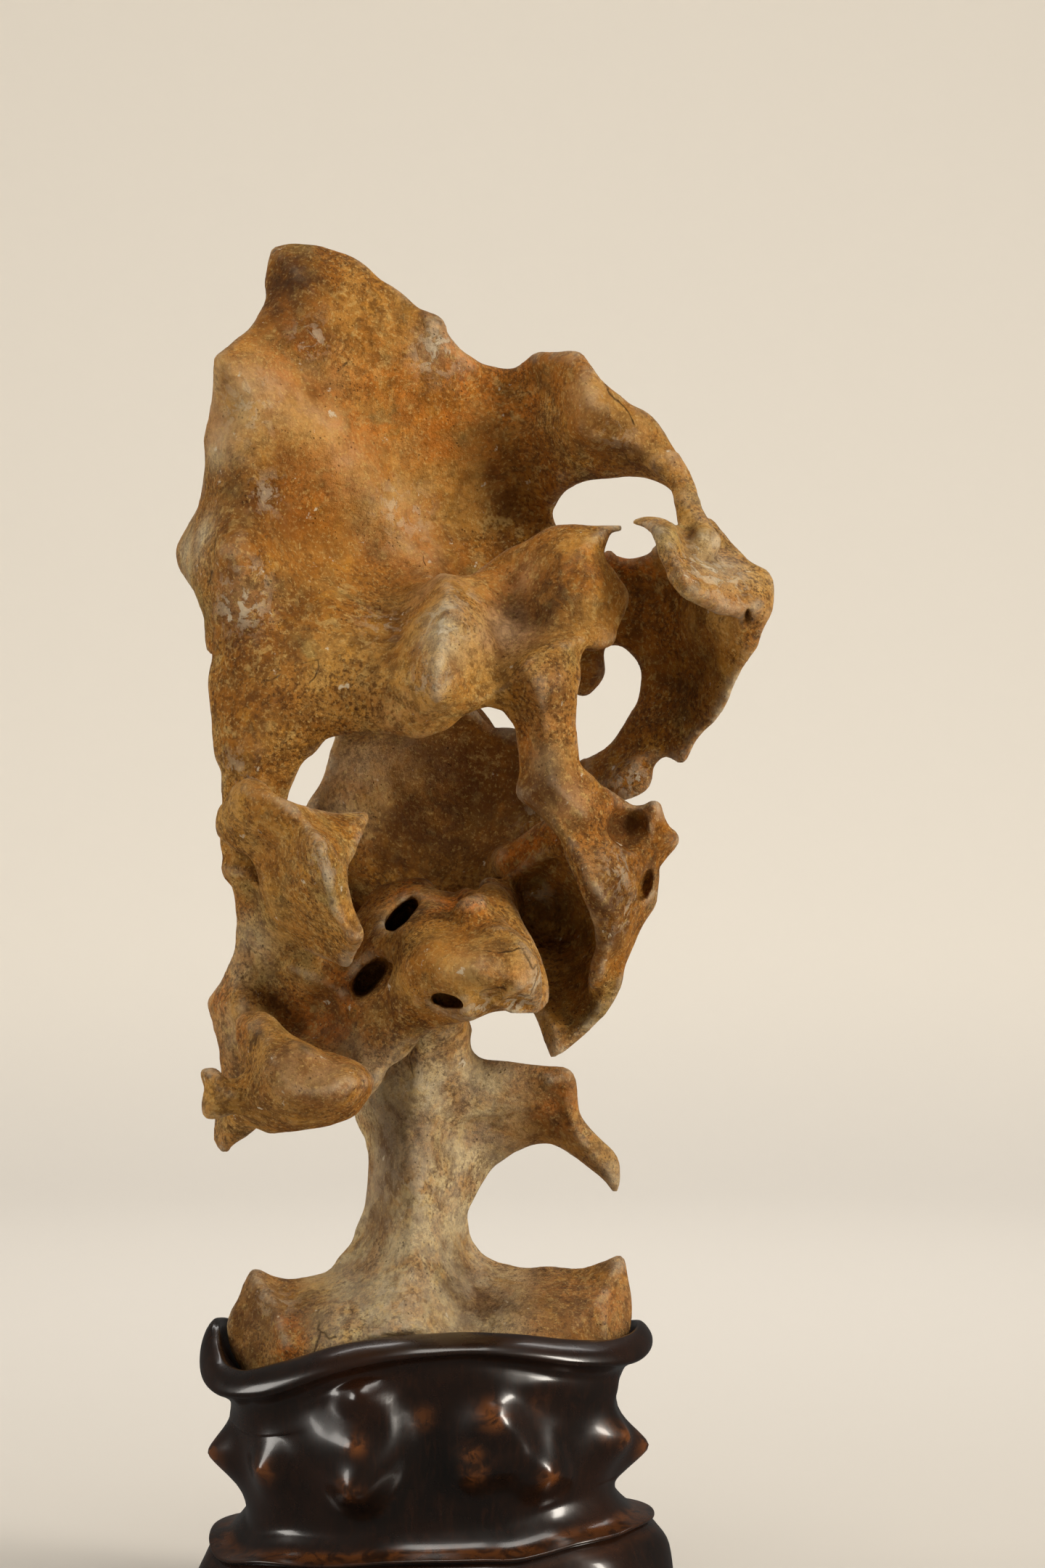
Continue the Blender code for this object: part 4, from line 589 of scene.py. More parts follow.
# %% What holds it together
limb([(600, 1420, -10, 14), (590, 1370, -25, 16), (570, 1320, -30, 14)], blend=14)
limb([(740, 800, 10, 9), (770, 810, -20, 10), (790, 815, -38, 10)], blend=12)
limb([(620, 870, -20, 12), (620, 890, -50, 14)], blend=14)
limb([(500, 975, 14, 8), (480, 930, -8, 10), (470, 900, -20, 10)], blend=12)
limb([(400, 1230, -52, 9), (395, 1250, -40, 10), (385, 1265, -30, 10)], blend=12)
limb([(345, 1110, -62, 9), (335, 1130, -48, 10)], blend=12)
limb([(428, 1478, -32, 11), (420, 1486, -60, 10), (410, 1480, -84, 11)], blend=12)
limb([(330, 1535, -46, 7), (350, 1520, -60, 8), (370, 1510, -74, 9)], blend=8)
limb([(815, 870, -38, 7), (815, 840, -20, 8), (820, 830, -4, 6)], blend=10)
limb([(650, 1262, -60, 8), (670, 1250, -40, 6), (680, 1245, -20, 8), (690, 1250, 4, 8)], blend=10)
limb([(920, 640, -16, 5), (938, 668, -20, 4.4), (947, 695, -26, 4.6), (957, 722, -34, 5.5),
      (972, 748, -44, 7)], blend=7)
# spur seen through the right opening
limb([(780, 860, 10, 9), (800, 895, 14, 8.5), (808, 922, 17, 7.5), (804, 940, 19, 5)], blend=8)
# floor behind the dark hole
lump((508, 1346, -10), (20, 18, 9), blend=8)
print("stone so far:", litres(), "litres")

# %% [markdown]
# ## The back
# No one sees the back in the picture, so it is guessed: a spine with folds across it and hollows between, as
# broken as the front.

# %% The back
# spine and folds
limb([(420, 400, 12, 10), (430, 480, 22, 15), (470, 600, 40, 16), (500, 720, 50, 15), (520, 840, 46, 14),
      (560, 940, 38, 12)], blend=18)
limb([(480, 620, 38, 12), (570, 640, 44, 12), (660, 620, 44, 12), (760, 580, 26, 12), (840, 590, 8, 10)],
     blend=16)
limb([(330, 880, -14, 10), (400, 900, 6, 12), (470, 860, 30, 12), (520, 800, 44, 12)], blend=16)
limb([(640, 1000, 48, 9), (680, 1080, 56, 11), (690, 1180, 50, 11), (640, 1280, 34, 10), (600, 1360, 6, 12)],
     blend=14)
limb([(440, 1130, 28, 8), (520, 1160, 50, 10), (610, 1150, 60, 10), (690, 1110, 56, 9)], blend=14)
limb([(720, 760, 34, 9), (800, 790, 20, 8), (860, 830, 20, 8), (930, 860, 10, 8)], blend=12)
lump((395, 1280, -16), (13, 16, 10), blend=12)
lump((380, 1450, -12), (15, 17, 10), turn=30, blend=12)
lump((600, 1830, 34), (30, 22, 16), turn=10, blend=14)
lump((600, 1570, 18), (9, 26, 9), turn=-6, blend=10)
# hollows from behind
scoop((560, 520, 46), (24, 22, 26), turn=20, blend=10)
scoop((600, 760, 66), (24, 26, 30), blend=10)
scoop((380, 660, 20), (16, 34, 20), turn=10, blend=10)
scoop((600, 1080, 78), (15, 17, 16), turn=15, blend=7)
scoop((540, 1240, 52), (18, 13, 18), turn=-25, blend=7)
scoop((740, 1120, 62), (10, 20, 18), turn=20, blend=7)
scoop((780, 540, 30), (16, 12, 14), turn=30, blend=8)
scoop((350, 1060, -6), (13, 24, 14), blend=8)
scoop((885, 850, 32), (11, 15, 10), turn=20, blend=7)
scoop((780, 1280, 38), (12, 15, 14), turn=-20, blend=7)
scoop((560, 1700, 34), (13, 26, 10), turn=-10, blend=8)
scoop((700, 1850, 46), (18, 14, 14), turn=10, blend=8)
scoop((620, 960, 8), (9, 9, 16), turn=10, blend=6)
print("stone so far:", litres(), "litres")

# %% [markdown]
# ## Holes
# Last come the holes and pits, cut right through or into what is there.

# %% Holes
scoop((508, 1346, -50), (10.5, 6.5, 26), turn=52, blend=5)
scoop((617, 1379, -84), (8, 3.6, 18), turn=-12, blend=2)
scoop((553, 1263, -30), (10.5, 4.8, 24), turn=50, blend=3)
scoop((605, 1212, 6), (13, 6, 16), turn=-10, blend=4)
scoop((892, 1217, -44), (3, 7, 11), turn=-17, blend=2)
scoop((866, 1139, -51), (8, 9, 10), turn=20, blend=5)
scoop((1029, 853, -58), (1.8, 4.5, 8), turn=-5, blend=2)
print("stone so far:", litres(), "litres")

# %% [markdown]
# ## Weathering
# Real limestone is never smooth at any size. Random swells are added to the whole field: broad ones about 24
# mm apart, then finer and lower ones. They are numbers at the corners of a coarse lattice, spread out
# smoothly.

# %% Swells
LATTICE_START = (-160, -290, -135)           # mm across, upward and deep
LATTICE_SPAN = (300, 540, 240)


def weights(coords, start, cell, count):
    """How much each lattice plane counts at each coordinate: a smoothstep from one plane to the next."""
    u = np.clip((coords - start) / cell, 0, count - 1.001)
    i = u.astype(int)
    t = u - i
    t = t * t * (3 - 2 * t)
    w = np.zeros((len(coords), count), np.float32)
    rows = np.arange(len(coords))
    w[rows, i] = 1 - t
    w[rows, i + 1] = t
    return w


def ripple(cell, height, seed):
    """height times a lattice of random numbers, carried along the three axes in turn."""
    counts = [int(span / cell) + 3 for span in LATTICE_SPAN]
    swell = np.random.default_rng(seed).uniform(-1, 1, counts).astype(np.float32)
    for axis, start, count in zip((across, upward, depths), LATTICE_START, counts):
        swell = np.tensordot(swell, weights(axis, start, cell, count), (0, 1))
    field[:] += height * swell
    print("swells", cell, "mm apart, up to", height, "mm")


ripple(24.0, 1.3, 3)
ripple(9.0, 0.55, 7)

# %% [markdown]
# Worn limestone has crisp ridges between smooth hollows. A blurred copy of the field lies above the field at
# a ridge and below it in a crease, so adding a part of the difference lifts the ridges and deepens the
# creases.

# %% Crisper ridges


def blurred(values, radius):
    """Two box averages along each axis, each a difference of running sums, come close to a bell curve."""
    reach = max(1, int(round(radius / VOXEL)))
    for axis in range(3):
        for _ in range(2):
            padded = np.concatenate([np.repeat(values.take([0], axis), reach + 1, axis), values,
                                     np.repeat(values.take([-1], axis), reach, axis)], axis)
            total = np.cumsum(padded, axis, dtype=np.float32)
            span = 2 * reach + 1
            values = (total.take(range(span, total.shape[axis]), axis)
                      - total.take(range(total.shape[axis] - span), axis)) / span
    return values


def crisper(radius, amount, most):
    """field + amount x (field - blurred field), the change held within most mm."""
    field[:] += np.clip(amount * (field - blurred(field, radius)), -most, most)
    print("ridges", radius, "mm wide are up to", most, "mm higher")


crisper(4.5, 0.45, 0.6)
crisper(1.5, 0.8, 0.35)
ripple(4.2, 0.22, 11)

# %% [markdown]
# ## The fit in the stand
# The foot stands in a shallow socket that narrows like a bowl. The stone is trimmed to the socket's plan, out
# of sight below the rim. The rim's height changes round the stand, so it is a curve through (degrees, height)
# pairs.

# %% Heights round the stand
RIM_TOP = [(0, -222.3), (30, -225), (60, -221), (90, -224), (120, -221), (150, -225), (168, -222.5),
           (180, -222.5), (190, -229), (200, -235), (210, -237.3), (218, -237), (234, -232), (254, -223.6),
           (274, -219.6), (290, -220.4), (308, -223.6), (325, -225.1), (342, -224.2)]
RIM_LOW = [(0, -233), (30, -236), (60, -234), (90, -233), (120, -234), (150, -240), (168, -241), (180, -242),
           (195, -246), (209, -248), (227, -246), (238, -241.6), (251, -234.5), (265, -229), (278, -226.5),
           (290, -228), (306, -232.1), (323, -234.7), (340, -235)]
SEAM = [(0, -301.8), (30, -303), (60, -306), (90, -308), (120, -310), (150, -309), (170, -309),
        (182, -310.5), (203, -315.4), (226, -312.6), (247, -312), (264, -309.6), (280, -309), (289, -309.2),
        (298, -307), (307, -304.4), (324, -302.9), (333, -301.6), (345, -301.2)]


def around(table, angle):
    """A cubic from each pair to the next, its slopes those of the chords past them, so it runs on smoothly."""
    deg = np.array([p[0] for p in table], float)
    val = np.array([p[1] for p in table], float)
    deg = np.concatenate([deg[-2:] - 360, deg, deg[:2] + 360])
    val = np.concatenate([val[-2:], val, val[:2]])
    slope = (val[2:] - val[:-2]) / (deg[2:] - deg[:-2])
    knots, height = deg[1:-1], val[1:-1]
    a = np.degrees(angle) % 360
    i = np.clip(np.searchsorted(knots, a, side="right") - 1, 0, len(knots) - 2)
    span = knots[i + 1] - knots[i]
    t = (a - knots[i]) / span
    curve = (2 * t**3 - 3 * t**2 + 1) * height[i] + (t**3 - 2 * t**2 + t) * span * slope[i]
    return curve + (3 * t**2 - 2 * t**3) * height[i + 1] + (t**3 - t**2) * span * slope[i + 1]


def socket_axes(depth):
    """The socket's half-axes: 0 is at the rim, 1 at its floor."""
    return SOCKET_A - 13 * depth**1.5, SOCKET_B - 11 * depth**1.5


print("the rim's front left is at", round(float(around(RIM_TOP, np.radians(225))), 1), "mm")

# %% The foot's fit
grow = 1 + depths[None, None, :] / EYE
foot_x = across[:, None, None] * grow - STAND_X - 1
foot_z = upward[None, :, None] * grow
foot_y = depths[None, None, :] + 0 * foot_x
rim_there = around(RIM_TOP, np.arctan2(foot_y / SOCKET_B, foot_x / SOCKET_A)[:, :1, :])
sunk = np.clip((rim_there - foot_z) / (rim_there - SOCKET_FLOOR), 0, 1.2)
half_a, half_b = socket_axes(sunk)
half_a, half_b = half_a - SOCKET_GAP, half_b - SOCKET_GAP
ring = (np.abs(foot_x / half_a) ** (2 / OVAL) + np.abs(foot_y / half_b) ** (2 / OVAL)) ** (OVAL / 2)
steep = np.sqrt((foot_x / half_a) ** 2 / half_a**2 + (foot_y / half_b) ** 2 / half_b**2) + 1e-6
allowed = (ring - 1) * ring / steep - np.clip(foot_z - rim_there - 0.5, 0, None) * 2.5
field[:] = blend_cut(field, allowed.astype(np.float32), 2.0)
# the skin lies this far inside, so that the finest swells stay inside the solid's box
LEVEL = -0.2                 # mm
field[:] = np.maximum(field, (SOCKET_FLOOR + FIT + LEVEL - foot_z).astype(np.float32))
del grow, foot_x, foot_y, foot_z, rim_there, sunk, half_a, half_b, ring, steep, allowed
print("the foot ends", FIT, "mm above the socket's floor")

# %% [markdown]
# ## From distances to a mesh
# The skin is drawn where the field passes through a level. Loose crumbs are left out: every vertex takes the
# lowest number among its neighbours until nothing changes, and the largest group of equal numbers is the
# stone.

# %% The stone's mesh


def skin():
    """Points (across, upward, depth) and four-sided faces where the field passes through LEVEL."""
    grid = openvdb.FloatGrid(30.0)
    grid.copyFromArray(field)
    points, _, quads = grid.convertToPolygons(LEVEL, 0.0)
    points = points.astype(float) * VOXEL + [across[0], upward[0], depths[0]]
    return points, quads.astype(int)


def largest_group(points, faces):
    """Keeps the faces that hang together with the most others."""
    group = np.arange(len(points))
    while True:
        lowest = group.copy()
        for corner in range(4):
            np.minimum.at(lowest, faces[:, corner], group[faces].min(1))
        lowest = lowest[lowest]
        if (lowest == group).all():
            break
        group = lowest
    kept = group == np.bincount(group).argmax()
    number = np.cumsum(kept) - 1
    return points[kept], number[faces[kept[faces[:, 0]]]]


def mesh_piece(name, points, faces):
    """A mesh object at the origin. Points are metres in the model's frame. Faces are an
    array, or a list of arrays."""
    mesh = bpy.data.meshes.new(name)
    lists = []
    for part in faces if isinstance(faces, list) else [faces]:
        lists += part.tolist()
    mesh.from_pydata(points.tolist(), [], lists)
    mesh.shade_smooth()
    piece = bpy.data.objects.new(name, mesh)
    bpy.context.scene.collection.objects.link(piece)
    return piece


def volume(points, faces):
    """Six times the volume is the sum of a . (b x c) over the triangles; below zero the faces point inwards."""
    a, b, c, d = (points[faces[:, i]] for i in range(4))
    return float((np.cross(b, c) * a).sum() + (np.cross(c, d) * a).sum()) / 6


places, squares = largest_group(*skin())
places = to_model(places)
if volume(places, squares) < 0:
    squares = squares[:, ::-1]
stone = mesh_piece("stone", places, squares)
print("stone:", len(squares), "faces,", round(volume(places, squares) * 1000, 2), "litres")

# %% [markdown]
# That is more faces than a reusable piece should have, so a Decimate modifier merges the ones that lie
# flattest. Its result becomes the mesh, with no modifier left.

# %% Fewer faces
STONE_TRIANGLES = 190000


def settle(piece):
    """Puts the result of the piece's modifiers into its mesh."""
    graph = bpy.context.evaluated_depsgraph_get()
    done = bpy.data.meshes.new_from_object(piece.evaluated_get(graph), depsgraph=graph)
    piece.modifiers.clear()
    piece.data = done


thin = stone.modifiers.new("fewer faces", "DECIMATE")
thin.ratio = min(1.0, STONE_TRIANGLES / (2 * len(squares)))
settle(stone)
stone.data.shade_smooth()
print("the stone has", len(stone.data.polygons), "faces now")

# %% [markdown]
# ## What the shape says about the colour
# Hollows and creases get painted shade, a darker colour where less light reaches, and edges are rubbed pale.
# The field knows where both are: round a point in a hollow more than half of the space is stone, and round an
# edge less. So the field is blurred and read at each vertex, and kept as attributes that a material can use.

# %% Hollows and edges


def to_picture(points):
    """From metres in the model back to (across, upward, depth) in the picture's space."""
    p = (points - MIDDLE) / MM
    grow = 1 + p[:, 1] / EYE
    return np.stack([p[:, 0] / grow, p[:, 2] / grow, p[:, 1]], 1)


def read_at(values, points):
    """Values between the voxels, each corner weighted by how near it is."""
    u = (points - [across[0], upward[0], depths[0]]) / VOXEL
    u = np.clip(u, 0, np.array(values.shape) - 1.001)
    i = u.astype(int)
    t = u - i
    out = np.zeros(len(points))
    for corner in np.ndindex(2, 2, 2):
        share = np.prod(np.where(corner, t, 1 - t), 1)
        j = i + np.array(corner)
        out += share * values[j[:, 0], j[:, 1], j[:, 2]]
    return out


def keep_attribute(piece, name, values):
    """One number for each vertex, stored under a name."""
    layer = piece.data.attributes.new(name, "FLOAT", "POINT")
    layer.data.foreach_set("value", np.asarray(values, np.float32))


vertices = np.zeros(len(stone.data.vertices) * 3)
stone.data.vertices.foreach_get("co", vertices)
vertices = vertices.reshape(-1, 3)
seen = to_picture(vertices)
solid = np.clip(0.5 - field / (2 * VOXEL), 0, 1).astype(np.float32)
near_fill = read_at(blurred(solid, 3.0), seen)
far_fill = read_at(blurred(solid, 11.0), seen)
keep_attribute(stone, "edge", np.clip((0.46 - near_fill) / 0.2, 0, 1))
keep_attribute(stone, "crease", np.clip((near_fill - 0.52) / 0.2, 0, 1))
keep_attribute(stone, "hollow", np.clip((far_fill - 0.3) / 0.45, 0, 1))
print("blurred fill at the skin:", np.percentile(near_fill, [2, 50, 98]).round(2),
      np.percentile(far_fill, [2, 50, 98]).round(2))

# %% [markdown]
# ## Stains, and painted shade and light
# Some colours sit where they do by chance: iron-red in a few recesses, chalky patches, dark streaks, and the
# paler neck. Some spots are painted shade and light as well: dark ones in the bowls, pits and faces turned
# from the light, pale and pink ones on lit ridges and tops. Each is a handful of soft spots, placed where they
# are seen, at the depth of the skin there.

# %% Spots of colour


def first_skin(px, py):
    """The depth at which a straight look into the picture meets the stone."""
    x, z = at(px, py)
    column = field[int(round((x - across[0]) / VOXEL)), int(round((z - upward[0]) / VOXEL))]
    return depths[int((column < 0).argmax())] if (column < 0).any() else 0.0


def spots(table):
    """The strongest of strength x exp(-(distance / radius) squared) over spots (px, py, radius, strength)."""
    out = np.zeros(len(seen))
    for px, py, radius, strength in table:
        away = ((seen - [*at(px, py), first_skin(px, py)]) ** 2).sum(1)
        out = np.maximum(out, strength * np.exp(-away / radius**2))
    return out


RUST = [(703, 1184, 7, 1), (722, 1169, 7, 1), (742, 1155, 7, 1), (765, 1148, 7, 1), (560, 1225, 12, 0.9),
        (620, 1250, 14, 1), (640, 1225, 8, 0.7), (440, 1400, 14, 0.9), (840, 1800, 14, 0.4),
        (700, 1330, 9, 0.3), (480, 1385, 10, 0.8), (470, 1430, 12, 0.9), (862, 772, 16, 1), (840, 760, 9, 1),
        (396, 1862, 9, 1), (398, 1830, 7, 1), (700, 540, 20, 0.6), (520, 560, 26, 0.6), (640, 500, 18, 0.6),
        (300, 1370, 10, 0.7), (310, 1330, 10, 0.6), (430, 660, 22, 0.4), (480, 1345, 12, 0.8),
        (770, 1520, 12, 0.6), (400, 480, 16, 0.5), (560, 760, 20, 0.4), (700, 800, 14, 0.3),
        (735, 1010, 9, 0.5), (840, 1130, 10, 0.5), (330, 1420, 10, 0.5), (660, 1250, 8, 0.7),
        (800, 775, 9, 0.6), (620, 590, 30, 0.5)]
CHALK = [(330, 830, 10, 1), (345, 800, 7, 0.8), (605, 485, 9, 1), (530, 860, 9, 0.5), (430, 470, 7, 0.7),
         (610, 850, 10, 0.8), (590, 940, 9, 0.5), (340, 560, 12, 0.5), (560, 710, 12, 0.4),
         (540, 700, 10, 0.5), (370, 680, 8, 0.5), (745, 1230, 6, 0.4), (712, 1378, 9, 0.9),
         (738, 1350, 6, 0.8), (660, 1390, 7, 0.8), (978, 785, 13, 1), (995, 795, 12, 0.7),
         (612, 848, 6, 0.6), (580, 1500, 10, 0.5), (570, 1640, 12, 0.5), (870, 1080, 9, 0.6),
         (855, 1200, 9, 0.5), (860, 1260, 7, 0.6), (330, 1060, 8, 0.5), (450, 1180, 9, 0.4),
         (540, 1790, 12, 0.5), (380, 1790, 8, 0.5), (850, 600, 8, 0.3), (640, 820, 8, 0.4),
         (740, 1130, 7, 0.5)]
# dark streaks, and painted shade: in the bowls and pits, on the neck's left side and on the far right branch's
# shaded face
DARK_STREAKS_AND_SHADE = [(398, 388, 11, 0.75), (388, 420, 8, 0.6), (440, 388, 6, 0.3), (600, 450, 10, 0.7),
        (560, 425, 9, 0.5), (740, 640, 10, 0.4), (760, 830, 18, 0.7), (700, 860, 14, 0.6),
        (800, 800, 12, 0.5), (860, 1130, 8, 0.8), (895, 1215, 7, 1), (900, 1180, 6, 0.7),
        (400, 1440, 10, 0.7), (460, 1340, 9, 0.6), (560, 1550, 12, 0.5), (545, 1600, 10, 0.6),
        (660, 1800, 14, 0.5), (640, 1770, 12, 0.5), (420, 1800, 10, 0.4), (950, 960, 14, 0.5),
        (1025, 855, 7, 0.7), (350, 1430, 8, 0.8), (600, 1125, 20, 0.7), (560, 1190, 14, 0.6),
        (700, 1290, 14, 0.4), (320, 850, 9, 0.4), (450, 900, 20, 0.3), (690, 655, 10, 0.5),
        (560, 1270, 8, 0.8)]
# pale stone, and painted light: lit spots on the nose's ridge, the neck's top, the inner bowl's left side, the
# left edge and the right fin's top
PALE_AND_LIT = [(500, 1060, 20, 0.45), (470, 1110, 16, 0.45), (560, 1040, 14, 0.35), (330, 1330, 12, 0.6),
        (310, 1260, 12, 0.6), (320, 1420, 12, 0.5), (590, 1440, 14, 1), (615, 880, 10, 0.5),
        (300, 620, 10, 0.5), (296, 540, 9, 0.5), (255, 760, 10, 0.9), (262, 790, 9, 0.8), (300, 620, 9, 0.7),
        (330, 560, 14, 0.4), (612, 840, 9, 1), (614, 880, 9, 0.9), (608, 920, 8, 0.6), (345, 1300, 12, 0.7),
        (570, 1810, 18, 1), (280, 740, 10, 1), (985, 775, 13, 1), (972, 762, 8, 1), (610, 480, 9, 0.9),
        (750, 1050, 8, 0.3), (606, 866, 10, 0.9)]
# real stains, and painted shade: the spots in the inner and lower bowls and down the neck's left side darken
# where shade falls
STAIN_AND_SHADE = [(540, 1530, 14, 0.9), (536, 1580, 14, 1), (530, 1630, 13, 0.9), (524, 1680, 12, 0.8),
         (385, 1815, 14, 0.7), (655, 1790, 15, 0.8), (640, 1760, 10, 0.7), (345, 1800, 14, 0.7),
         (335, 1850, 14, 0.7), (430, 1830, 10, 0.5), (800, 1820, 22, 0.6), (740, 1800, 14, 0.5),
         (780, 1500, 10, 0.6), (760, 1540, 10, 0.6), (820, 1610, 10, 0.4), (395, 400, 12, 0.7),
         (420, 450, 10, 0.4), (870, 1180, 12, 0.5), (840, 1130, 12, 0.6), (700, 900, 18, 0.2),
         (760, 960, 14, 0.4), (420, 1420, 14, 0.6), (465, 1405, 15, 0.9), (640, 1060, 28, 1),
         (700, 1120, 24, 0.9), (600, 1140, 24, 0.8), (700, 1040, 22, 0.9), (740, 1090, 16, 0.9),
         (740, 1215, 12, 0.4), (772, 1235, 14, 0.3), (720, 1245, 12, 0.6), (780, 1290, 12, 0.3),
         (400, 1460, 12, 0.6), (440, 1500, 14, 0.5), (350, 1520, 12, 0.5)]
# pink dust, and painted light: the band along the upper wall's lit ridge and the tops turned to the light
DUST_AND_LIGHT = [(330, 825, 12, 0.5), (351, 514, 12, 0.4), (385, 538, 14, 0.6), (420, 566, 14, 0.8),
        (452, 598, 13, 1), (482, 632, 13, 1), (505, 662, 9, 0.6), (540, 712, 12, 1), (557, 730, 12, 1),
        (583, 772, 12, 0.7), (430, 530, 14, 0.4), (300, 600, 10, 0.7), (290, 560, 9, 0.6),
        (700, 870, 14, 0.9), (670, 880, 10, 0.6), (440, 1470, 14, 0.5), (600, 800, 16, 0.4),
        (800, 545, 9, 0.4), (560, 990, 14, 0.3), (735, 1345, 8, 0.8), (480, 1060, 9, 0.5),
        (885, 610, 8, 0.3), (760, 1000, 10, 0.5), (790, 1100, 10, 0.5), (640, 900, 9, 0.5),
        (720, 800, 10, 0.5), (640, 1330, 12, 0.2), (430, 1475, 16, 0.5), (1000, 830, 9, 0.5),
        (830, 1180, 8, 0.4), (760, 930, 9, 0.4)]
CALM = [(400, 580, 40, 1), (520, 660, 44, 1), (440, 760, 34, 0.8), (600, 620, 40, 0.9), (820, 560, 26, 0.8),
        (620, 780, 26, 0.6), (640, 1330, 24, 0.7), (430, 1480, 20, 0.6), (440, 1130, 26, 0.5),
        (640, 1080, 44, 0.8)]
# brown patches, and painted shade: below the fold left of the wall's lit ridge, in the lobe's pits, under the
# lump and on the far right branch's shaded face
BROWN_AND_SHADE = [(360, 680, 17, 1), (385, 650, 12, 0.8), (330, 720, 12, 0.6), (390, 720, 12, 0.6), (400, 385, 14, 1),
         (385, 440, 10, 0.8), (425, 460, 9, 0.8), (840, 590, 14, 0.7), (860, 625, 12, 0.9),
         (700, 680, 11, 0.6), (690, 640, 10, 0.6), (860, 1140, 12, 0.8), (840, 1240, 12, 1),
         (835, 1200, 8, 0.6), (845, 1290, 10, 0.9), (760, 830, 13, 0.7), (680, 1310, 9, 0.4),
         (560, 1120, 9, 1), (545, 1150, 9, 0.8), (555, 1180, 8, 0.8), (575, 1150, 6, 0.8),
         (480, 1350, 8, 0.6), (540, 1380, 10, 0.6), (330, 870, 12, 0.5), (400, 830, 14, 0.5),
         (360, 900, 14, 0.5), (560, 1890, 10, 0.4), (870, 850, 10, 0.5), (930, 960, 14, 0.5),
         (970, 900, 12, 0.4), (370, 980, 12, 0.4)]
tables = {"dust_and_light": DUST_AND_LIGHT, "calm": CALM, "brown_and_shade": BROWN_AND_SHADE, "rust": RUST, "chalk": CHALK, "dark_streaks_and_shade": DARK_STREAKS_AND_SHADE,
          "stain_and_shade": STAIN_AND_SHADE}
for name, table in tables.items():
    keep_attribute(stone, name, spots(table))
NECK_X, NECK_TOP = 575, 1400                 # the neck's middle and upper end in the picture
NECK_HALF, NECK_FADE = 95, 90                # pixels to each side, and the soft edge beyond
low_down = np.clip((PICTURE_Y - seen[:, 1] / PIXEL - NECK_TOP) / NECK_FADE, 0, 1)
off_neck = np.clip((np.abs(PICTURE_X + seen[:, 0] / PIXEL - NECK_X) - NECK_HALF) / NECK_FADE, 0, 0.85)
low_down = low_down * (1 - off_neck) * np.clip((seen[:, 2] + 62) / 14, 0, 1)
# the pale neck, with painted light from the pale spots
keep_attribute(stone, "pale_neck_and_lit", np.maximum(low_down, spots(PALE_AND_LIT)))
print("spots:", {name: len(table) for name, table in tables.items()}, "and pale:", len(PALE_AND_LIT))

# %% [markdown]
# ## Node groups for both materials
# A material is a small program of nodes. Effects that the stone and the wood share are groups with named
# sockets, so they are built once: soft patches, small pits, and a way to lay one colour over another.

# %% Helpers for nodes


def add_node(tree, kind, settings=None, **inputs):
    """A node of the kind. Settings are its own properties. Inputs are numbers, colours or sockets."""
    made = tree.nodes.new("ShaderNode" + kind)
    for name, value in (settings or {}).items():
        setattr(made, name, value)
    for name, value in inputs.items():
        key = name.replace("_", " ")
        socket = made.inputs[int(key[3:])] if key.startswith("at ") else made.inputs[key]
        if isinstance(value, bpy.types.NodeSocket):
            tree.links.new(value, socket)
        else:
            socket.default_value = value
    return made


def new_group(name, inputs, outputs):
    """An empty node group with number, vector or colour sockets, and its input and output nodes."""
    group = bpy.data.node_groups.new(name, "ShaderNodeTree")
    kinds = {"f": "NodeSocketFloat", "v": "NodeSocketVector", "c": "NodeSocketColor"}
    for socket, kind in inputs:
        group.interface.new_socket(socket, in_out="INPUT", socket_type=kinds[kind])
    for socket, kind in outputs:
        group.interface.new_socket(socket, in_out="OUTPUT", socket_type=kinds[kind])
    return group, group.nodes.new("NodeGroupInput"), group.nodes.new("NodeGroupOutput")


def use_group(tree, group, **inputs):
    """Places the group in a material with its own values."""
    return add_node(tree, "Group", {"node_tree": group}, **inputs)


def new_material(name):
    """A material with its tree of nodes and its shader."""
    made = bpy.data.materials.new(name)
    made.use_nodes = True
    return made, made.node_tree, made.node_tree.nodes["Principled BSDF"]


def two_colors(tree, first, second, mask):
    """The first colour where the mask is 0, and the second where it is 1."""
    made = add_node(tree, "Mix", {"data_type": "RGBA"}, Factor=mask)
    made.inputs[6].default_value = (*first, 1)
    made.inputs[7].default_value = (*second, 1)
    return made.outputs[2]


print("node groups so far:", len(bpy.data.node_groups))

# %% Patches
PATCH_INPUTS = [("Vector", "v"), ("Scale", "f"), ("Detail", "f"), ("From", "f"), ("To", "f"), ("Warp", "f")]
patches, inside, outside = new_group("patches", PATCH_INPUTS, [("Mask", "f")])
cloud = add_node(patches, "TexNoise", Vector=inside.outputs["Vector"], Scale=inside.outputs["Scale"],
                 Detail=inside.outputs["Detail"], Roughness=0.62, Distortion=inside.outputs["Warp"])
range_ = add_node(patches, "MapRange", {"interpolation_type": "SMOOTHSTEP"}, Value=cloud.outputs["Fac"],
                  From_Min=inside.outputs["From"], From_Max=inside.outputs["To"])
patches.links.new(range_.outputs["Result"], outside.inputs["Mask"])

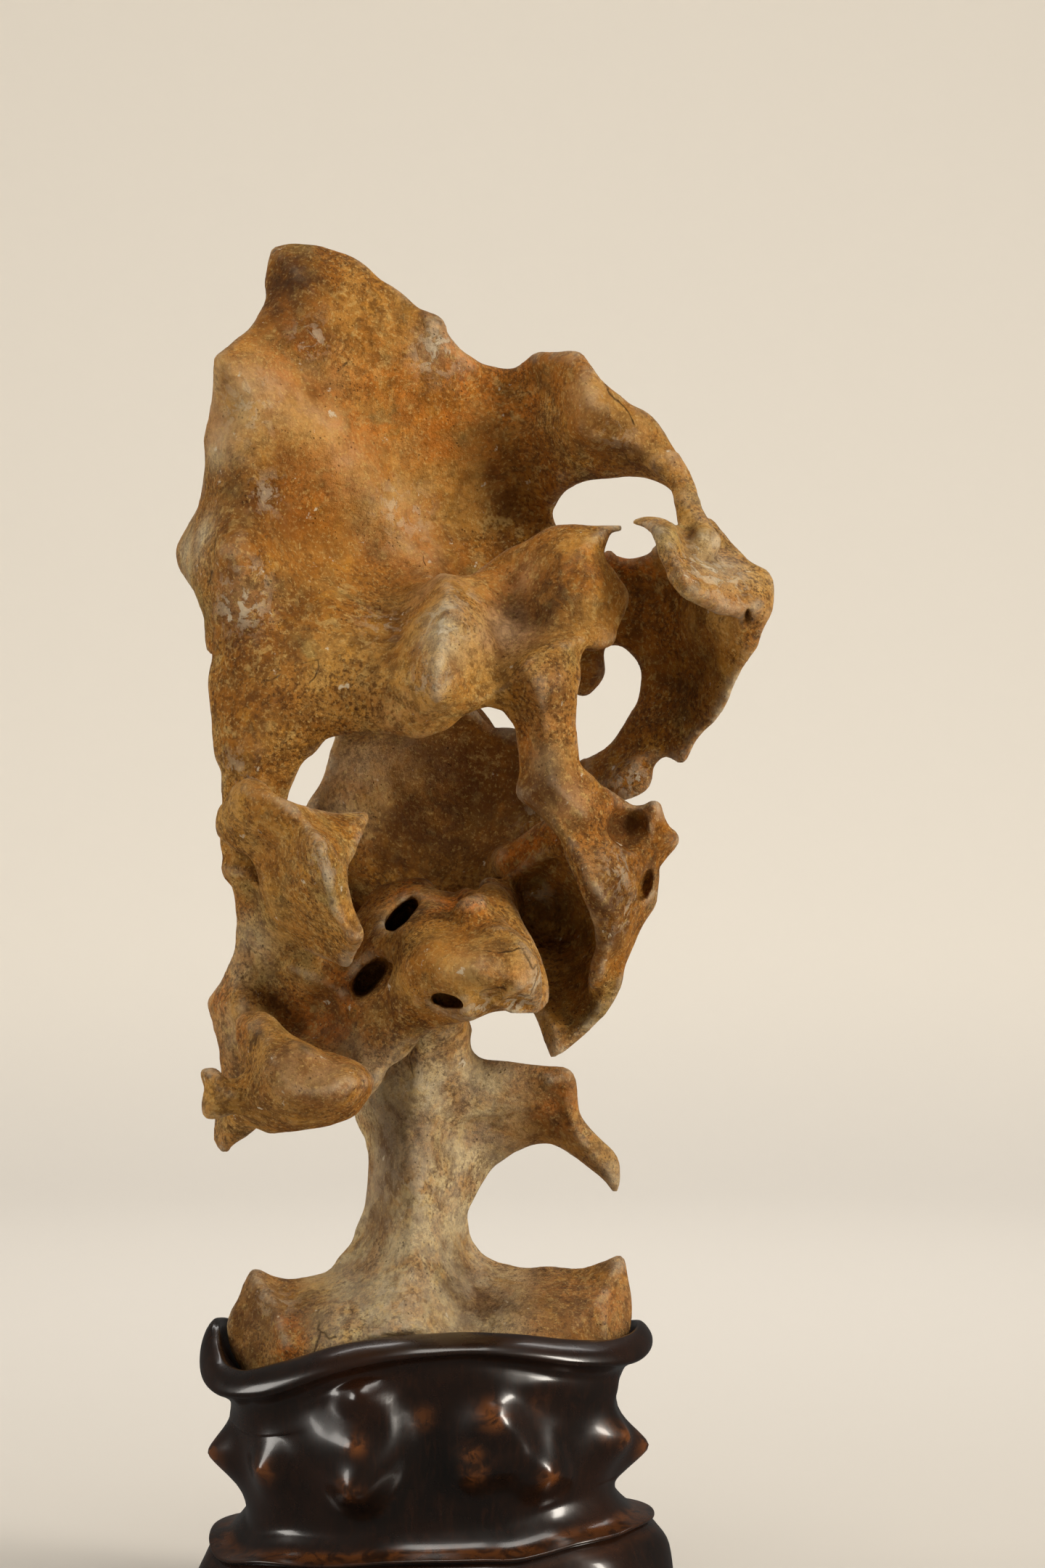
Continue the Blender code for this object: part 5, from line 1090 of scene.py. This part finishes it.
# %% Pits
pits, inside, outside = new_group("pits", [("Vector", "v"), ("Scale", "f"), ("Size", "f"), ("Spread", "f")],
                                  [("Mask", "f")])
cells = add_node(pits, "TexVoronoi", Vector=inside.outputs["Vector"], Scale=inside.outputs["Scale"],
                 Randomness=1.0)
where = add_node(pits, "TexNoise", Vector=inside.outputs["Vector"], Scale=90.0, Detail=2.0)
some = add_node(pits, "MapRange", Value=where.outputs["Fac"], From_Min=inside.outputs["Spread"], From_Max=0.75)
wide = add_node(pits, "Math", {"operation": "MULTIPLY"}, at_0=some.outputs["Result"],
                at_1=inside.outputs["Size"])
hole = add_node(pits, "MapRange", {"interpolation_type": "SMOOTHSTEP"}, Value=cells.outputs["Distance"],
                From_Min=wide.outputs["Value"], From_Max=0.0, To_Min=0.0, To_Max=1.0)
pits.links.new(hole.outputs["Result"], outside.inputs["Mask"])
print("patches and pits are ready")

# %% [markdown]
# ## The stone's surface
# Seen close, the stone is ochre over tan, with grey-green bloom, dark grain, chalk in flakes, rust in its
# hollows and pale worn edges. Painted shade darkens its hollows, creases and the faces turned from the light,
# and painted light lifts its lit ridges and tops. Every one of these is a layer with its own mask, laid over
# the last, as a painter would glaze it.

# %% Stone material
look, tree, shader = new_material("weathered limestone")
spot = add_node(tree, "TexCoord").outputs["Object"]


def attribute(name):
    """The number stored at each vertex under the name."""
    return add_node(tree, "Attribute", {"attribute_name": name}).outputs["Fac"]


def clamped(operation, a, b):
    """One sum on two numbers or sockets, held between 0 and 1."""
    return add_node(tree, "Math", {"operation": operation, "use_clamp": True}, at_0=a, at_1=b).outputs["Value"]


def times(a, b):
    return clamped("MULTIPLY", a, b)


def plus(a, b):
    return clamped("ADD", a, b)


def minus(a, b):
    return clamped("SUBTRACT", a, b)


def patch(scale, low, high, detail=6.0, warp=0.0):
    """A mask of soft patches: noise that rises from 0 to 1 between low and high."""
    made = use_group(tree, patches, Vector=spot, Scale=scale, Detail=detail, From=low, To=high, Warp=warp)
    return made.outputs["Mask"]


def layer(under, color, mask):
    """Lays a colour over what is under it, as strongly as the mask says."""
    made = add_node(tree, "Mix", {"data_type": "RGBA"}, Factor=mask)
    tree.links.new(under, made.inputs[6])
    made.inputs[7].default_value = (*color, 1)
    return made.outputs[2]


OCHRE = (0.38, 0.140, 0.013)
TAN = (0.58, 0.310, 0.070)
BLOOM = (0.29, 0.21, 0.065)
UMBER = (0.092, 0.031, 0.003)
KHAKI = (0.66, 0.51, 0.26)
HONEY = (0.54, 0.25, 0.030)
STRAW = (0.66, 0.43, 0.14)
RUST_RED = (0.68, 0.205, 0.020)
STAIN_AND_SHADE_BROWN = (0.15, 0.050, 0.004)
DUST_AND_LIGHT_PINK = (0.60, 0.385, 0.21)
CHALK_WHITE = (0.66, 0.56, 0.40)
SPECK_AND_SHADE_BROWN = (0.045, 0.019, 0.006)

color = two_colors(tree, OCHRE, TAN, patch(12.0, 0.42, 0.64))
# the paler neck, and painted light on the pale spots
pale_and_lit_mask = attribute("pale_neck_and_lit")
color = layer(color, KHAKI, times(pale_and_lit_mask, plus(patch(20.0, 0.35, 0.6), 0.45)))
color = layer(color, BLOOM, times(patch(22.0, 0.50, 0.66, warp=0.6), 0.75))
color = layer(color, OCHRE, times(patch(60.0, 0.48, 0.60, warp=0.4), 0.6))
color = layer(color, HONEY, times(patch(95.0, 0.52, 0.64, warp=0.4), 0.55))
# painted shade: umber darkens the deepest hollows, less where the pale mask lies
deep = add_node(tree, "MapRange", Value=attribute("hollow"), From_Min=0.54, From_Max=0.95).outputs["Result"]
color = layer(color, UMBER, times(minus(deep, pale_and_lit_mask), plus(patch(30.0, 0.35, 0.65), 0.35)))
# stains and painted shade, dark brown
color = layer(color, STAIN_AND_SHADE_BROWN, times(attribute("stain_and_shade"), plus(patch(48.0, 0.38, 0.60, warp=0.4), 0.3)))
# brown patches and painted shade
color = layer(color, STAIN_AND_SHADE_BROWN, times(attribute("brown_and_shade"), plus(patch(40.0, 0.36, 0.60, warp=0.4), 0.2)))
# pink dust and painted light on lit ridges and tops
dust_and_light = times(attribute("dust_and_light"), plus(patch(34.0, 0.36, 0.62), 0.3))
color = layer(color, DUST_AND_LIGHT_PINK, times(dust_and_light, 0.8))
rust_mask = times(attribute("rust"), plus(patch(75.0, 0.38, 0.58, warp=0.5), 0.15))
color = layer(color, RUST_RED, rust_mask)
print("stone colours mixed so far:", len(tree.nodes), "nodes")

# %% Grain, chalk, dark streaks and painted shade
mottle = patch(130.0, 0.48, 0.61, detail=8.0)
busy = minus(1.0, times(plus(attribute("calm"), dust_and_light), 0.75))
dapple = patch(250.0, 0.50, 0.575, detail=8.0, warp=0.3)
dapple_where = times(plus(patch(18.0, 0.40, 0.60), 0.25), busy)
color = layer(color, UMBER, times(times(dapple, dapple_where), 0.55))
pale_dapple = patch(205.0, 0.545, 0.61, detail=8.0, warp=0.5)
pale_where = times(plus(patch(27.0, 0.42, 0.62), 0.2), plus(busy, 0.1))
color = layer(color, STRAW, times(times(pale_dapple, pale_where), 0.6))
color = layer(color, UMBER, times(times(mottle, plus(busy, 0.15)), 0.45))
grain = patch(560.0, 0.46, 0.62, detail=8.0)
grain_where = times(plus(patch(30.0, 0.42, 0.62), 0.3), busy)
color = layer(color, UMBER, times(times(grain, grain_where), 0.85))
light_grain = patch(720.0, 0.53, 0.68, detail=6.0)
color = layer(color, STRAW, times(light_grain, 0.6))
fleck = patch(1200.0, 0.56, 0.66, detail=3.0)
fleck_where = times(plus(patch(22.0, 0.45, 0.60), 0.1), busy)
color = layer(color, SPECK_AND_SHADE_BROWN, times(times(fleck, fleck_where), 0.9))
# stains and painted shade, darkened once more after the grain
stained_and_shaded = plus(times(attribute("stain_and_shade"), 0.5), times(attribute("brown_and_shade"), 0.45))
color = layer(color, UMBER, times(stained_and_shaded, plus(patch(110.0, 0.38, 0.60, warp=0.4), 0.35)))
# a pale wash over the neck, and painted light on the pale spots
pale_and_lit_wash = times(pale_and_lit_mask, plus(patch(45.0, 0.40, 0.60), 0.3))
color = layer(color, CHALK_WHITE, times(pale_and_lit_wash, 0.32))
# dark streaks and painted shade
streak_and_shade_mask = times(attribute("dark_streaks_and_shade"), plus(patch(120.0, 0.42, 0.60, warp=0.8), 0.1))
color = layer(color, SPECK_AND_SHADE_BROWN, times(streak_and_shade_mask, 0.85))
chalk_flakes = patch(170.0, 0.50, 0.56, detail=8.0, warp=0.6)
chalk_mask = times(attribute("chalk"), chalk_flakes)
loose_chalk = times(patch(150.0, 0.66, 0.70, detail=8.0), 0.8)
color = layer(color, CHALK_WHITE, plus(times(chalk_mask, 0.8), loose_chalk))
worn = times(attribute("edge"), plus(patch(90.0, 0.40, 0.62), 0.2))
color = layer(color, CHALK_WHITE, times(worn, 0.55))
# painted shade: umber darkens the creases
shaded_crease = times(attribute("crease"), plus(patch(160.0, 0.40, 0.62), 0.2))
color = layer(color, UMBER, times(shaded_crease, 0.9))

# %% Cracks
bent = add_node(tree, "TexNoise", Vector=spot, Scale=18.0, Detail=4.0)
bend = add_node(tree, "VectorMath", {"operation": "SCALE"}, at_0=bent.outputs["Color"], Scale=0.05)
crooked = add_node(tree, "VectorMath", {"operation": "ADD"}, at_0=spot, at_1=bend.outputs["Vector"])
cracks = add_node(tree, "TexVoronoi", {"feature": "DISTANCE_TO_EDGE"}, Vector=crooked.outputs["Vector"],
                  Scale=22.0)
thin_line = add_node(tree, "MapRange", Value=cracks.outputs["Distance"], From_Min=0.0, From_Max=0.012,
                     To_Min=1.0, To_Max=0.0)
crack_mask = times(thin_line.outputs["Result"], patch(24.0, 0.59, 0.66))
color = layer(color, SPECK_AND_SHADE_BROWN, times(crack_mask, 0.75))
tree.links.new(color, shader.inputs["Base Color"])

# %% The stone's relief
pit_mask = use_group(tree, pits, Vector=spot, Scale=420.0, Size=0.36, Spread=0.42).outputs["Mask"]
fine = add_node(tree, "TexNoise", Vector=spot, Scale=400.0, Detail=9.0, Roughness=0.68)
broad = add_node(tree, "TexNoise", Vector=spot, Scale=90.0, Detail=6.0, Roughness=0.6)
knobbly = add_node(tree, "TexNoise", Vector=spot, Scale=210.0, Detail=5.0, Roughness=0.6)
dents = add_node(tree, "Math", {"operation": "MULTIPLY_ADD"}, at_0=broad.outputs["Fac"], at_1=1.8,
                 at_2=fine.outputs["Fac"])
dents = add_node(tree, "Math", {"operation": "MULTIPLY_ADD"}, at_0=knobbly.outputs["Fac"], at_1=0.9,
                 at_2=dents.outputs["Value"])
less = add_node(tree, "Math", {"operation": "SUBTRACT"}, at_0=dents.outputs["Value"], at_1=times(pit_mask, 0.9))
less = add_node(tree, "Math", {"operation": "SUBTRACT"}, at_0=less.outputs["Value"],
                at_1=times(crack_mask, 0.8))
less = add_node(tree, "Math", {"operation": "ADD"}, at_0=less.outputs["Value"], at_1=times(chalk_mask, 0.2))
bump = add_node(tree, "Bump", Height=less.outputs["Value"], Strength=0.95, Distance=0.0017)
tree.links.new(bump.outputs["Normal"], shader.inputs["Normal"])
rough = add_node(tree, "MapRange", Value=fine.outputs["Fac"], From_Min=0.3, From_Max=0.7, To_Min=0.62,
                 To_Max=0.9)
tree.links.new(rough.outputs["Result"], shader.inputs["Roughness"])
shader.inputs["Specular IOR Level"].default_value = 0.2
stone.data.materials.clear()
stone.data.materials.append(look)
print("the stone's material has", len(tree.nodes), "nodes")

# %% The stone's place
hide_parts("rock")
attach(stone, "root")
print("the stone stands for the plain solid")

# %% [markdown]
# ## The stand
# The stand is one block of dark hardwood, carved and polished: a rolled rim that dips at the front left to
# show the stone, a waist with knobs and winding ridges, a thin flange, and a swelling base. Each of its two
# pieces is a skin run round through rings. A ring is a little squarer than an ellipse, and its height may
# change as it goes round.

# %% Rings of the stand


def oval(angle, a, b, shift=0.0):
    """x = shift + a |cos| ^ OVAL and y = b |sin| ^ OVAL, with the signs kept."""
    c, s = np.cos(angle), np.sin(angle)
    return STAND_X + shift + a * np.sign(c) * np.abs(c) ** OVAL, b * np.sign(s) * np.abs(s) ** OVAL


def collar_rings(angle):
    """(half-axis across, half-axis deep, shift, height): up the socket, over the rim, down the waist, under."""
    rim, low, seam = around(RIM_TOP, angle), around(RIM_LOW, angle), around(SEAM, angle)
    roll = low - rim
    level = np.zeros_like(angle)
    sink = rim - SOCKET_FLOOR
    floor_a, floor_b = socket_axes(1.0)
    rows = [(42, 19, 0.6, SOCKET_FLOOR + level), (floor_a - 1.5, floor_b - 1.5, 1, SOCKET_FLOOR + level)]
    rows += [(*socket_axes(deep), 1, rim - deep * sink) for deep in (0.97, 0.7, 0.35)]
    rows += [(*socket_axes(0.0), 1, rim - 1.2), (86.9, 47.2, 0.8, rim - 0.2), (88.8, 49.8, 0.5, rim)]
    rows += [(91.4, 54.5, 0.2, rim + 0.2 * roll), (93.2, 58.6, 0.2, rim + 0.5 * roll)]
    rows += [(93.3, 60.8, 0.2, rim + 0.8 * roll), (91.6, 60.6, 0.2, rim + 0.98 * roll), (88, 58, 0, low - 1.2)]
    rows += [(84, 55.4, 0, low - 4), (81.6, 54, 0, low - 9), (80.4, 53, -0.6, low - 16)]
    rows += [(80, 52.5, -0.4, -262 + level)]
    rows += [(79.8, 52, 0, -272 + level), (78.5, 51, 0.6, -282 + level), (76.6, 49.8, 1.6, seam + 14)]
    rows += [(78.6, 51.4, 2, seam + 8.5), (83.4, 55.2, 2.4, seam + 3.6), (89.4, 60, 2.5, seam + 1.9)]
    rows += [(91.6, 61.8, 2.5, seam + 1.3), (91.8, 62, 2.5, seam + 0.5), (91, 61.3, 2.5, seam)]
    rows += [(87.6, 58.6, 2.5, seam), (70, 46, 1.2, 0.5 * (seam + SEAM_MIDDLE))]
    rows += [(36, 24, 0, SEAM_MIDDLE + level)]
    return rows, SOCKET_FLOOR, SEAM_MIDDLE


def base_rings(angle):
    """The lower piece: under the flange, out over the belly and in to the flat underside."""
    seam = around(SEAM, angle) - FIT
    level = np.zeros_like(angle)
    rows = [(36, 24, 0, SEAM_MIDDLE - FIT + level), (70, 46, 1.2, 0.5 * (seam + FIT + SEAM_MIDDLE) - FIT)]
    rows += [(87.6, 58.6, 2.5, seam), (89.4, 60, 2.5, seam - 0.5), (92.6, 62.6, 2.6, seam - 4)]
    rows += [(96.4, 65.6, 2.7, seam - 11), (98.4, 67.2, 2.7, -328 + level), (98, 67, 2.7, -337 + level)]
    rows += [(94.4, 64.4, 2.7, -346 + level), (90.6, 61.4, 2.7, STAND_BOTTOM + 3 + level)]
    rows += [(89.2, 60.2, 2.7, STAND_BOTTOM + 0.7 + level), (88, 59.2, 2.7, STAND_BOTTOM + level)]
    rows += [(60, 40, 1.4, STAND_BOTTOM + level)]
    return rows, SEAM_MIDDLE - FIT, STAND_BOTTOM


print("rings:", len(collar_rings(np.zeros(1))[0]), "and", len(base_rings(np.zeros(1))[0]))

# %% [markdown]
# Broad bosses, knobs and ridges stand out from the waist. Those on the front are placed by where they are
# seen; the back has its own, in the same manner.

# %% Knobs and ridges


def on_waist(px, py):
    """Where a look through this pixel meets the front of the waist, in mm, found by closing in on its depth."""
    y = -50.0
    for _ in range(6):
        x = (px - PICTURE_X) * PIXEL * (1 + y / EYE) - STAND_X
        y = -52.5 * max(1 - abs(x / 80) ** (2 / OVAL), 0.0) ** (OVAL / 2)
    return np.array([x + STAND_X, y, (PICTURE_Y - py) * PIXEL * (1 + y / EYE)])


KNOBS = [(on_waist(497, 1984), 3.8, 5.5), (on_waist(493, 2049), 3.6, 5.5), (on_waist(371, 2024), 4.4, 7.0),
         (on_waist(672, 1945), 4.6, 7.0), (on_waist(650, 2026), 4.6, 6.0), (on_waist(748, 2030), 4.6, 6.0),
         (on_waist(842, 1976), 4.0, 6.0), ((STAND_X - 80, -3.0, -276.0), 13.0, 8.5),
         ((STAND_X + 80.6, -4.0, -272.5), 15.0, 8.0), ((STAND_X - 52, 40.0, -268.0), 6.0, 9.0),
         ((STAND_X - 18, 52.0, -280.0), 6.0, 8.0), ((STAND_X + 14, 52.0, -262.0), 6.5, 9.0),
         ((STAND_X + 50, 42.0, -276.0), 6.0, 8.5)]
BOSSES = [(on_waist(476, 1995), 8.0, 18.0), (on_waist(500, 2030), 2.5, 13.0), (on_waist(372, 2030), 3.0, 13.0),
          (on_waist(680, 1982), 9.0, 18.0), (on_waist(735, 2025), 4.0, 12.0), (on_waist(838, 1984), 5.5, 13.0),
          ((STAND_X - 50, 42.0, -272.0), 4.5, 17.0), ((STAND_X + 5, 52.0, -272.0), 4.5, 20.0),
          ((STAND_X + 52, 42.0, -268.0), 4.0, 15.0)]
RIDGES = [([(500, 1922), (530, 1945), (540, 1980), (529, 2012), (500, 2050)], 7.0, 6.0),
          ([(510, 1922), (620, 1897), (720, 1906), (840, 1916)], 2.8, 4.5),
          ([(690, 1960), (715, 1995), (690, 2015)], 2.2, 4.5), ([(760, 1985), (780, 2030)], 2.0, 4.0)]


def carved(points):
    """A boss is height x exp(-(r / width) ^ 2.4), broad on top. A knob is a bell curve with a sharper tip and a
    shallow moat, and a ridge is a bell curve across a line."""
    rise = np.zeros(len(points))
    for where, height, width in BOSSES:
        rise += height * np.exp(-((((points - np.array(where)) ** 2).sum(1) / width**2) ** 1.2))
    for where, height, width in KNOBS:
        far = ((points - np.array(where)) ** 2).sum(1)
        rise += height * np.exp(-far / (2 * width * width))
        rise += min(0.3 * height, 1.2) * np.exp(-far / (2 * (0.3 * width) ** 2))
        rise -= 0.25 * height * np.exp(-far / (2 * (1.9 * width) ** 2))
    for pixels, height, width in RIDGES:
        line = curve_through([on_waist(*p) for p in pixels], False, 4)
        best = np.full(len(points), 1e9)
        for a, b in zip(line[:-1], line[1:]):
            d = b - a
            t = np.clip(((points - a) @ d) / (d @ d), 0, 1)[:, None]
            best = np.minimum(best, ((points - a - t * d) ** 2).sum(1))
        rise += height * np.exp(-best / (2 * width * width))
    return rise


GLOWS = [((583, 1953), 4.5, 0.6), ((645, 2000), 4.0, 0.8), ((829, 1971), 4.0, 0.7), ((667, 1942), 4.0, 0.8),
         ((487, 2040), 3.5, 0.9), ((367, 2018), 3.5, 0.8), ((740, 1935), 5.0, 0.4), ((500, 1945), 4.0, 0.3)]


def rubbed(points):
    """How far hands have rubbed the wood: bell curves round the knobs' tips and a few more places."""
    wear = np.zeros(len(points))
    for where, height, width in KNOBS:
        far = ((points - np.array(where)) ** 2).sum(1)
        wear = np.maximum(wear, 0.9 * np.exp(-far / (2 * (0.7 * width) ** 2)))
    for pixel, width, strength in GLOWS:
        far = ((points - on_waist(*pixel)) ** 2).sum(1)
        wear = np.maximum(wear, strength * np.exp(-far / (2 * width * width)))
    return wear


print(len(KNOBS), "knobs and", len(RIDGES), "ridges")

# %% The two pieces
FIRST_CARVED_RING = 12       # the rings before it are the socket and the rim


def turned_piece(name, rings, sides, spans, lobes):
    """Point (ring, side) = the smooth curve through the rings at that angle, pushed outward by the carving.
    A fan closes each end."""
    angle = np.linspace(0, 2 * np.pi, sides, endpoint=False)
    table, first, last = rings(angle)
    rows = np.array([np.stack([*oval(angle, a, b, shift), z], -1) for a, b, shift, z in table])
    rows = curve_through(rows.reshape(len(rows), -1), False, spans).reshape(-1, sides, 3)
    points = rows.reshape(-1, 3)
    out = np.stack([np.cos(angle), np.sin(angle) * 1.4], -1)
    out = np.tile(out / np.linalg.norm(out, axis=1)[:, None], (len(rows), 1))
    z, turn = points[:, 2], np.tile(angle, len(rows))
    seam = around(SEAM, turn)
    if lobes:
        band = np.clip((z - STAND_BOTTOM - 1) / 12, 0, 1) * np.clip((seam - 1 - z) / 7, 0, 1)
        rise = 1.5 * band * np.cos(9 * turn + 0.8)
        wear = 0.3 * np.exp(-(((z - seam + 4) / 3) ** 2))
    else:
        band = np.clip((around(RIM_LOW, turn) - 2 - z) / 5, 0, 1) * np.clip((z - seam - 4) / 7, 0, 1)
        rise = carved(points) * band * (np.arange(len(points)) // sides >= FIRST_CARVED_RING * spans)
        wear = np.maximum(rubbed(points), 0.6 * np.exp(-(((z - seam - 3) / 2.5) ** 2)))
    points = points.copy()
    points[:, :2] += out * rise[:, None]
    points = np.vstack([points, [STAND_X, 0.0, first], [STAND_X, 0.0, last]])
    i = np.arange(sides)
    j = (i + 1) % sides
    row = np.arange(len(rows) - 1)[:, None] * sides
    walls = np.stack([row + i, row + sides + i, row + sides + j, row + j], -1).reshape(-1, 4)
    end = (len(rows) - 1) * sides
    ends = np.concatenate([np.stack([i, j, np.full(sides, end + sides)], -1),
                           np.stack([end + j, end + i, np.full(sides, end + sides + 1)], -1)])
    if volume(points, walls) > 0:
        walls, ends = walls[:, ::-1], ends[:, ::-1]
    piece = mesh_piece(name, points * MM + MIDDLE, [walls, ends])
    keep_attribute(piece, "rubbed", np.append(wear, [0, 0]))
    print(name, "has", len(walls) * 2 + len(ends), "triangles")
    return piece


collar = turned_piece("collar", collar_rings, 320, 5, False)
base = turned_piece("base", base_rings, 240, 4, True)

# %% [markdown]
# ## Polished hardwood
# The wood is nearly black, with a satin polish. Hands have rubbed the knobs and ridges back to a red brown,
# and the pores show as tiny pinholes. A coat layer over a rougher body gives the soft highlight with a
# sharper one inside it.

# %% Wood material
look, tree, shader = new_material("dark hardwood")
spot = add_node(tree, "TexCoord").outputs["Object"]
along = add_node(tree, "Mapping", Vector=spot, Scale=(1.0, 1.0, 0.12)).outputs["Vector"]

DARK_WOOD = (0.0062, 0.0034, 0.0021)
RED_WOOD = (0.026, 0.0085, 0.003)
WORN_WOOD = (0.19, 0.060, 0.012)
color = two_colors(tree, DARK_WOOD, RED_WOOD, patch(16.0, 0.35, 0.75))
grain = use_group(tree, patches, Vector=along, Scale=300.0, Detail=4.0, From=0.48, To=0.66, Warp=1.5)
grain = grain.outputs["Mask"]
color = layer(color, RED_WOOD, times(grain, 0.5))
raised = add_node(tree, "MapRange", {"interpolation_type": "SMOOTHSTEP"}, Value=attribute("rubbed"),
                  From_Min=0.1, From_Max=1.1).outputs["Result"]
worn = times(raised, plus(patch(130.0, 0.38, 0.62, warp=1.0), 0.15))
color = layer(color, WORN_WOOD, times(worn, 0.9))
pores = use_group(tree, pits, Vector=spot, Scale=190.0, Size=0.10, Spread=0.55).outputs["Mask"]
color = layer(color, DARK_WOOD, pores)
tree.links.new(color, shader.inputs["Base Color"])

smear = add_node(tree, "MapRange", Value=patch(40.0, 0.3, 0.7), To_Min=0.24, To_Max=0.34)
tree.links.new(smear.outputs["Result"], shader.inputs["Roughness"])
shader.inputs["Specular IOR Level"].default_value = 0.5
shader.inputs["Coat Weight"].default_value = 0.5
shader.inputs["Coat Roughness"].default_value = 0.12
ripples = add_node(tree, "TexNoise", Vector=spot, Scale=60.0, Detail=3.0, Roughness=0.5)
height = add_node(tree, "Math", {"operation": "MULTIPLY_ADD"}, at_0=pores, at_1=-0.8,
                  at_2=ripples.outputs["Fac"])
bump = add_node(tree, "Bump", Height=height.outputs["Value"], Strength=0.35, Distance=0.0006)
tree.links.new(bump.outputs["Normal"], shader.inputs["Normal"])
for piece, node in ((collar, "stand_collar"), (base, "stand_base")):
    piece.data.materials.append(look)
    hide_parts(node)
    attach(piece, "root")
print("the wood's material has", len(tree.nodes), "nodes")

# %% [markdown]
# ## The studio
# The floor curves up into a wall all the way round, like a bowl, so that no edge shows from any side. It is a
# profile turned round the upright axis: flat, a quarter circle, and straight up. The plaster is a little darker
# on the floor, where more light falls.

# %% Floor and wall
FLOOR_RADIUS, BEND, WALL_TOP = 1.7, 1.8, 3.2      # metres
STUDIO_SIDES = 96
WALL_CREAM = (0.755, 0.715, 0.64)
FLOOR_CREAM = (0.60, 0.575, 0.535)
bend = np.linspace(0, np.pi / 2, 25)
curved = np.stack([FLOOR_RADIUS + BEND * np.sin(bend), BEND * (1 - np.cos(bend))], 1)
profile = np.concatenate([[[0.0, 0.0]], curved, [[FLOOR_RADIUS + BEND, WALL_TOP]]])
turn = np.linspace(0, 2 * np.pi, STUDIO_SIDES, endpoint=False)
far, high = profile[1:, :1], profile[1:, 1:]
rows = np.stack([far * np.cos(turn), far * np.sin(turn), high + 0 * turn], -1)
points = np.vstack([rows.reshape(-1, 3), [0, 0, 0]])
i = np.arange(STUDIO_SIDES)
j = (i + 1) % STUDIO_SIDES
row = np.arange(len(rows) - 1)[:, None] * STUDIO_SIDES
above = row + STUDIO_SIDES
walls = np.stack([above + i, above + j, row + j, row + i], -1).reshape(-1, 4)
floor = np.stack([i, j, np.full(STUDIO_SIDES, len(points) - 1)], -1)
studio = mesh_piece("studio", points, [walls, floor])
studio.visible_glossy = False
print("the studio is", 2 * (FLOOR_RADIUS + BEND), "m across")

# %% Plaster
look, tree, shader = new_material("cream wall")
height = add_node(tree, "SeparateXYZ", Vector=add_node(tree, "TexCoord").outputs["Object"])
rise = add_node(tree, "MapRange", {"interpolation_type": "SMOOTHSTEP"}, Value=height.outputs["Z"],
                From_Min=-0.12, From_Max=0.2).outputs["Result"]
tree.links.new(two_colors(tree, FLOOR_CREAM, WALL_CREAM, rise), shader.inputs["Base Color"])
shader.inputs["Roughness"].default_value = 0.95
shader.inputs["Specular IOR Level"].default_value = 0.1
studio.data.materials.append(look)
print("the plaster has", len(tree.nodes), "nodes")

# %% [markdown]
# ## Light
# The light in the picture is soft and warm. It comes mostly from the upper right, in front, and a weaker
# light from the left opens the shadows. The lamps themselves aren't seen by the camera.

# %% Lamps
from mathutils import Vector


def lamp(name, place, aim, wide, tall, watts, color):
    """A flat lamp at a place, turned toward a point."""
    data = bpy.data.lights.new(name, "AREA")
    data.shape = "RECTANGLE"
    data.size = wide
    data.size_y = tall
    data.energy = watts
    data.color = color
    made = bpy.data.objects.new(name, data)
    made.location = place
    made.rotation_euler = (Vector(aim) - Vector(place)).to_track_quat("-Z", "Y").to_euler()
    made.visible_camera = False
    bpy.context.scene.collection.objects.link(made)


lamp("key", (1.55, -1.05, 0.95), (0, 0, 0.36), 0.36, 1.3, 36, (1.0, 0.93, 0.83))
lamp("fill", (-1.8, -0.5, 0.7), (0, 0, 0.30), 0.7, 1.0, 15, (1.0, 0.95, 0.88))
lamp("top", (0.05, -0.6, 2.1), (0, 0, 0.4), 0.8, 0.8, 12, (1.0, 0.95, 0.88))
lamp("wall", (0.1, 0.9, 1.9), (0.1, 3.0, 0.3), 1.8, 1.2, 39, (1.0, 0.965, 0.935))
world = bpy.data.worlds.new("studio air")
world.use_nodes = True
world.node_tree.nodes["Background"].inputs["Color"].default_value = (1.0, 0.95, 0.88, 1)
world.node_tree.nodes["Background"].inputs["Strength"].default_value = 0.08
bpy.context.scene.world = world
bpy.context.scene.view_settings.view_transform = "Standard"
